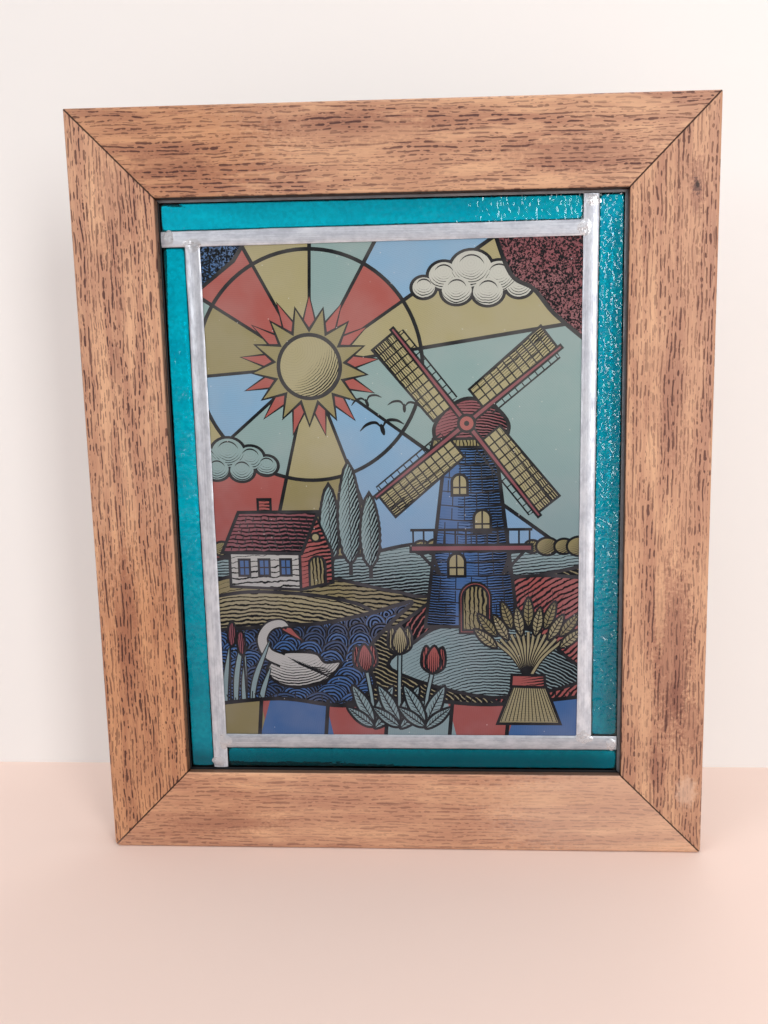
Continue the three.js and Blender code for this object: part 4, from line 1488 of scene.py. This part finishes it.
def build_stage(sizes, looks):
    """Pale floor, a pale wall behind that can be seen through from its back, soft lights and the camera."""
    floor_z = FRAME_LOW[2]
    reach, wall_y, wall_top = 1.6, sizes.wall_gap, 1.4
    floor_material = stage_material("Pale floor", looks.floor)[0]
    stage_plane("floor", [(-reach, -reach, floor_z), (reach, -reach, floor_z),
                          (reach, reach, floor_z), (-reach, reach, floor_z)], floor_material)
    # The wall glows a little of its own, as a light box does, so that the glass before it isn't dull
    wall_material, tree, shader = stage_material("Pale wall", looks.wall)
    shader.inputs["Emission Color"].default_value = (*looks.wall, 1)
    shader.inputs["Emission Strength"].default_value = 0.2
    from_behind = add(tree, "ShaderNodeNewGeometry").outputs["Backfacing"]
    clear = add(tree, "ShaderNodeBsdfTransparent").outputs[0]
    shown = add(tree, "ShaderNodeMixShader", {0: from_behind, 1: shader.outputs[0], 2: clear}).outputs[0]
    tree.links.new(shown, tree.nodes["Material Output"].inputs["Surface"])
    wall = stage_plane("wall", [(-reach, wall_y, floor_z), (reach, wall_y, floor_z),
                                (reach, wall_y, wall_top), (-reach, wall_y, wall_top)], wall_material)
    wall.visible_shadow = False

    target = (0, 0, MIDDLE_Z)
    area_light("window_light", (0.58, -0.9, 0.12), target, (0.24, 0.8), 6.9, (1.0, 0.99, 0.97))
    area_light("left_pane", (-0.8, -0.95, 0.15), target, (0.12, 0.4), 1.4, (0.98, 0.99, 1.0))
    area_light("ceiling_light", (0.15, -0.2, 1.2), (0, 0.05, MIDDLE_Z), (1.0, 0.5), 5.6, (1.0, 0.99, 0.98))
    area_light("room_fill", (-1.1, -0.9, 0.5), target, (1.0, 1.0), 4, (0.97, 0.98, 1.0))
    area_light("back_fill", (0.4, 1.3, 0.6), target, (1.0, 1.0), 6, (1.0, 1.0, 1.0))

    # A ceiling of light that is dim at eye level, so that the glass mirrors little of it
    world = bpy.data.worlds.new("Soft room")
    world.use_nodes = True
    sky = world.node_tree
    around = add(sky, "ShaderNodeTexCoord").outputs["Generated"]
    upward = add(sky, "ShaderNodeSeparateXYZ", {0: around}).outputs[2]
    sky.links.new(between(sky, upward, 0.15, 0.75, 0.08, 0.62), sky.nodes["Background"].inputs["Strength"])
    sky.nodes["Background"].inputs["Color"].default_value = (0.96, 0.97, 1.0, 1)
    scene = bpy.context.scene
    scene.world = world
    scene.view_settings.view_transform = "Standard"

    camera = bpy.data.cameras.new("Photograph view")
    camera.sensor_fit = "AUTO"
    camera.sensor_width = SENSOR_MM
    longest = max(IMAGE_SIZE)
    camera.lens = FOCAL_PIXELS / longest * SENSOR_MM
    camera.shift_x = (IMAGE_SIZE[0] / 2 - AXIS_PIXEL[0]) / longest
    camera.shift_y = (AXIS_PIXEL[1] - IMAGE_SIZE[1] / 2) / longest
    camera.clip_start = 0.01
    viewer = bpy.data.objects.new("Photograph view", camera)
    viewer.location = CAMERA_PLACE
    viewer.rotation_euler = Euler([math.radians(a) for a in CAMERA_TURN])
    bpy.context.collection.objects.link(viewer)
    scene.camera = viewer


# Sizes and colours that a user would change

def length(name, description, default):
    return FloatProperty(name=name, description=description, default=default, min=0.0,
                         unit="LENGTH", precision=5)


def colour(name, description, default):
    return FloatVectorProperty(name=name, description=description, default=default, size=3,
                               subtype="COLOR", min=0.0, max=1.0)


class WindowSizes(bpy.types.PropertyGroup):
    fit_gap: length("Fit gap", "Room between the lead and the groove", 0.3 * MM)
    edge_room: length("Edge room", "Room between the lead and the bottom of the groove", 1.2 * MM)
    mitre_gap: length("Mitre gap", "Open joint between two rails", 0.16 * MM)
    corner_radii: FloatVectorProperty(
        name="Corner radii", description="Rounding of the outer corners, clockwise from the top left",
        default=(0.9 * MM, 1.4 * MM, 3.0 * MM, 4.6 * MM), size=4, min=0.0, unit="LENGTH", precision=5)
    outer_arris: length("Outer edge", "Rounding of the rails' outer front edge", 2.0 * MM)
    inner_arris: length("Inner edge", "Rounding of the rails' inner front edge", 1.2 * MM)
    back_arris: length("Back edge", "Rounding of the rails' back edges", 1.0 * MM)
    lead_width: length("Lead width", "Width of the lead across its leaves", 7.8 * MM)
    leaf_edge: length("Leaf edge", "Thickness of a lead leaf at its edge", 0.5 * MM)
    leaf_crown: length("Leaf crown", "How far a leaf rises along its middle", 0.5 * MM)
    heart_thickness: length("Heart", "Thickness of the web between the leaves", 1.4 * MM)
    solder_radius: length("Solder radius", "Reach of a solder drop", 4.6 * MM)
    solder_height: length("Solder height", "Height of a solder drop over the lead", 0.32 * MM)
    hammer_depth: length("Ripple depth", "Depth of the border glass's ripples", 0.6 * MM)
    hammer_cell: length("Ripple size", "Width of the border glass's ripples", 1.25 * MM)
    wall_gap: length("Wall gap", "How far behind the window the wall stands", 90 * MM)


class WindowLooks(bpy.types.PropertyGroup):
    oak_light: colour("Oak light", "Pale wood between the pores", (0.66, 0.39, 0.235))
    oak_dark: colour("Oak dark", "Darker growth bands", (0.41, 0.205, 0.13))
    oak_pore: colour("Oak pore", "Dark open pores", (0.105, 0.047, 0.040))
    # Painted light: the left ends are tinted deeper orange, as wood with less sheen
    oak_low_sheen_tint: colour("Oak low sheen", "Tint of the deeper orange wood", (0.88, 0.74, 0.60))
    oak_purple: colour("Oak purple", "Tint of the darker, purplish clouds", (0.62, 0.52, 0.56))
    # Painted sheen: paler, pinker wood at the right
    oak_sheen_tone: colour("Oak sheen", "Paler and pinker wood, a painted sheen", (0.66, 0.46, 0.35))
    # The darkest oak: real dirt in the mitre joints and a knot's core, and painted shade on the rails' inner
    # faces
    oak_dirt_and_shade: colour("Oak recess", "Dirt in the joints, dark knot cores, and painted shade on inner faces", (0.035, 0.014, 0.009))
    lead_bright: colour("Lead bright", "Rubbed lead", (0.74, 0.78, 0.85))
    lead_dull: colour("Lead dull", "Dull lead", (0.46, 0.49, 0.56))
    solder_bright: colour("Solder", "Bright solder", (0.72, 0.72, 0.75))
    teal: colour("Border glass", "Colour of the border glass", (0.0, 0.74, 1.0))
    teal_deep: colour("Border glass streak", "Deeper streaks in the border glass", (0.0, 0.64, 0.90))
    teal_cloud: colour("Clouded glass", "Where the pressed glass is thicker", (0.0, 0.34, 0.58))
    # Painted shade low on the border glass
    teal_foot_shade: colour("Border glass foot", "Painted shade, darkest on the lowest strip of border glass", (0.0, 0.17, 0.25))
    # The dark line along the lead on the border glass: cement, and painted shadow
    cement_and_shade: colour("Cement and shade", "Dark cement along the lead", (0.012, 0.014, 0.014))
    paint_ink: colour("Ink", "Fired black lines", (0.010, 0.012, 0.014))
    paint_straw: colour("Straw paint", "Pale olive yellow", (0.33, 0.305, 0.165))
    paint_olive: colour("Olive paint", "Deeper olive yellow", (0.25, 0.225, 0.105))
    paint_sage: colour("Sage paint", "Grey green", (0.23, 0.34, 0.335))
    paint_brick: colour("Brick paint", "Dull red", (0.33, 0.095, 0.082))
    paint_blue: colour("Blue paint", "Slate blue", (0.055, 0.14, 0.31))
    paint_pale_blue: colour("Pale blue paint", "Light sky blue", (0.20, 0.36, 0.52))
    paint_deep_blue: colour("Deep blue paint", "Darker slate blue", (0.035, 0.075, 0.16))
    paint_maroon: colour("Maroon paint", "Purple brown", (0.22, 0.075, 0.085))
    paint_cream: colour("Cream paint", "Greyish cream", (0.46, 0.48, 0.43))
    # Painted reflection: the pale haze laid over the enamel
    enamel_sheen_haze: colour("Sheen haze", "Painted soft reflection on the enamel", (0.42, 0.41, 0.41))
    shaded: colour("Shaded enamel", "Tint of the picture's lower half", (0.72, 0.70, 0.80))
    dust: colour("Dust", "Specks on the enamel", (0.6, 0.6, 0.6))
    clear_glass: colour("Clear glass", "The pane's sides and back", (0.93, 0.97, 0.95))
    floor: colour("Floor", "Pale floor", (0.79, 0.625, 0.555))
    wall: colour("Wall", "Pale wall", (0.745, 0.725, 0.71))


class BuildStep:
    """What the operators share: each hands the scene's sizes and colours to its builder."""
    bl_options = {"REGISTER"}

    def execute(self, context):
        type(self).builder(context.scene.window_sizes, context.scene.window_looks)
        return {"FINISHED"}


class WINDOW_OT_stage(BuildStep, bpy.types.Operator):
    """Add the pale floor and wall, the lights and the camera"""
    bl_idname = "window.stage"
    bl_label = "Stage"
    builder = build_stage


class WINDOW_OT_rails(BuildStep, bpy.types.Operator):
    """Add the four oak rails"""
    bl_idname = "window.rails"
    bl_label = "Oak rails"
    builder = build_rails


class WINDOW_OT_lead(BuildStep, bpy.types.Operator):
    """Add the lead cames, the edge lead and the solder"""
    bl_idname = "window.lead"
    bl_label = "Lead and solder"
    builder = build_lead


class WINDOW_OT_border_glass(BuildStep, bpy.types.Operator):
    """Add the four strips of hammered glass"""
    bl_idname = "window.border_glass"
    bl_label = "Border glass"
    builder = build_border_glass


class WINDOW_OT_picture(BuildStep, bpy.types.Operator):
    """Add the painted pane"""
    bl_idname = "window.picture"
    bl_label = "Painted pane"
    builder = build_picture


STEPS = (WINDOW_OT_stage, WINDOW_OT_rails, WINDOW_OT_lead, WINDOW_OT_border_glass, WINDOW_OT_picture)


class WINDOW_PT_panel(bpy.types.Panel):
    """The window's pieces, sizes and colours"""
    bl_idname = "WINDOW_PT_panel"
    bl_label = "Leaded window"
    bl_space_type = "VIEW_3D"
    bl_region_type = "UI"
    bl_category = "Window"

    def draw(self, context):
        for step in STEPS:
            self.layout.operator(step.bl_idname)
        for group in (context.scene.window_sizes, context.scene.window_looks):
            box = self.layout.box()
            for name in group.__annotations__:
                box.prop(group, name)


CLASSES = (WindowSizes, WindowLooks, *STEPS, WINDOW_PT_panel)


def register():
    for cls in CLASSES:
        bpy.utils.register_class(cls)
    bpy.types.Scene.window_sizes = PointerProperty(type=WindowSizes)
    bpy.types.Scene.window_looks = PointerProperty(type=WindowLooks)


def unregister():
    del bpy.types.Scene.window_looks
    del bpy.types.Scene.window_sizes
    for cls in reversed(CLASSES):
        bpy.utils.unregister_class(cls)


def main():
    register()
    for step in STEPS:
        group, name = step.bl_idname.split(".")
        getattr(getattr(bpy.ops, group), name)()
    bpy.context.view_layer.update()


if __name__ == "__main__":
    main()
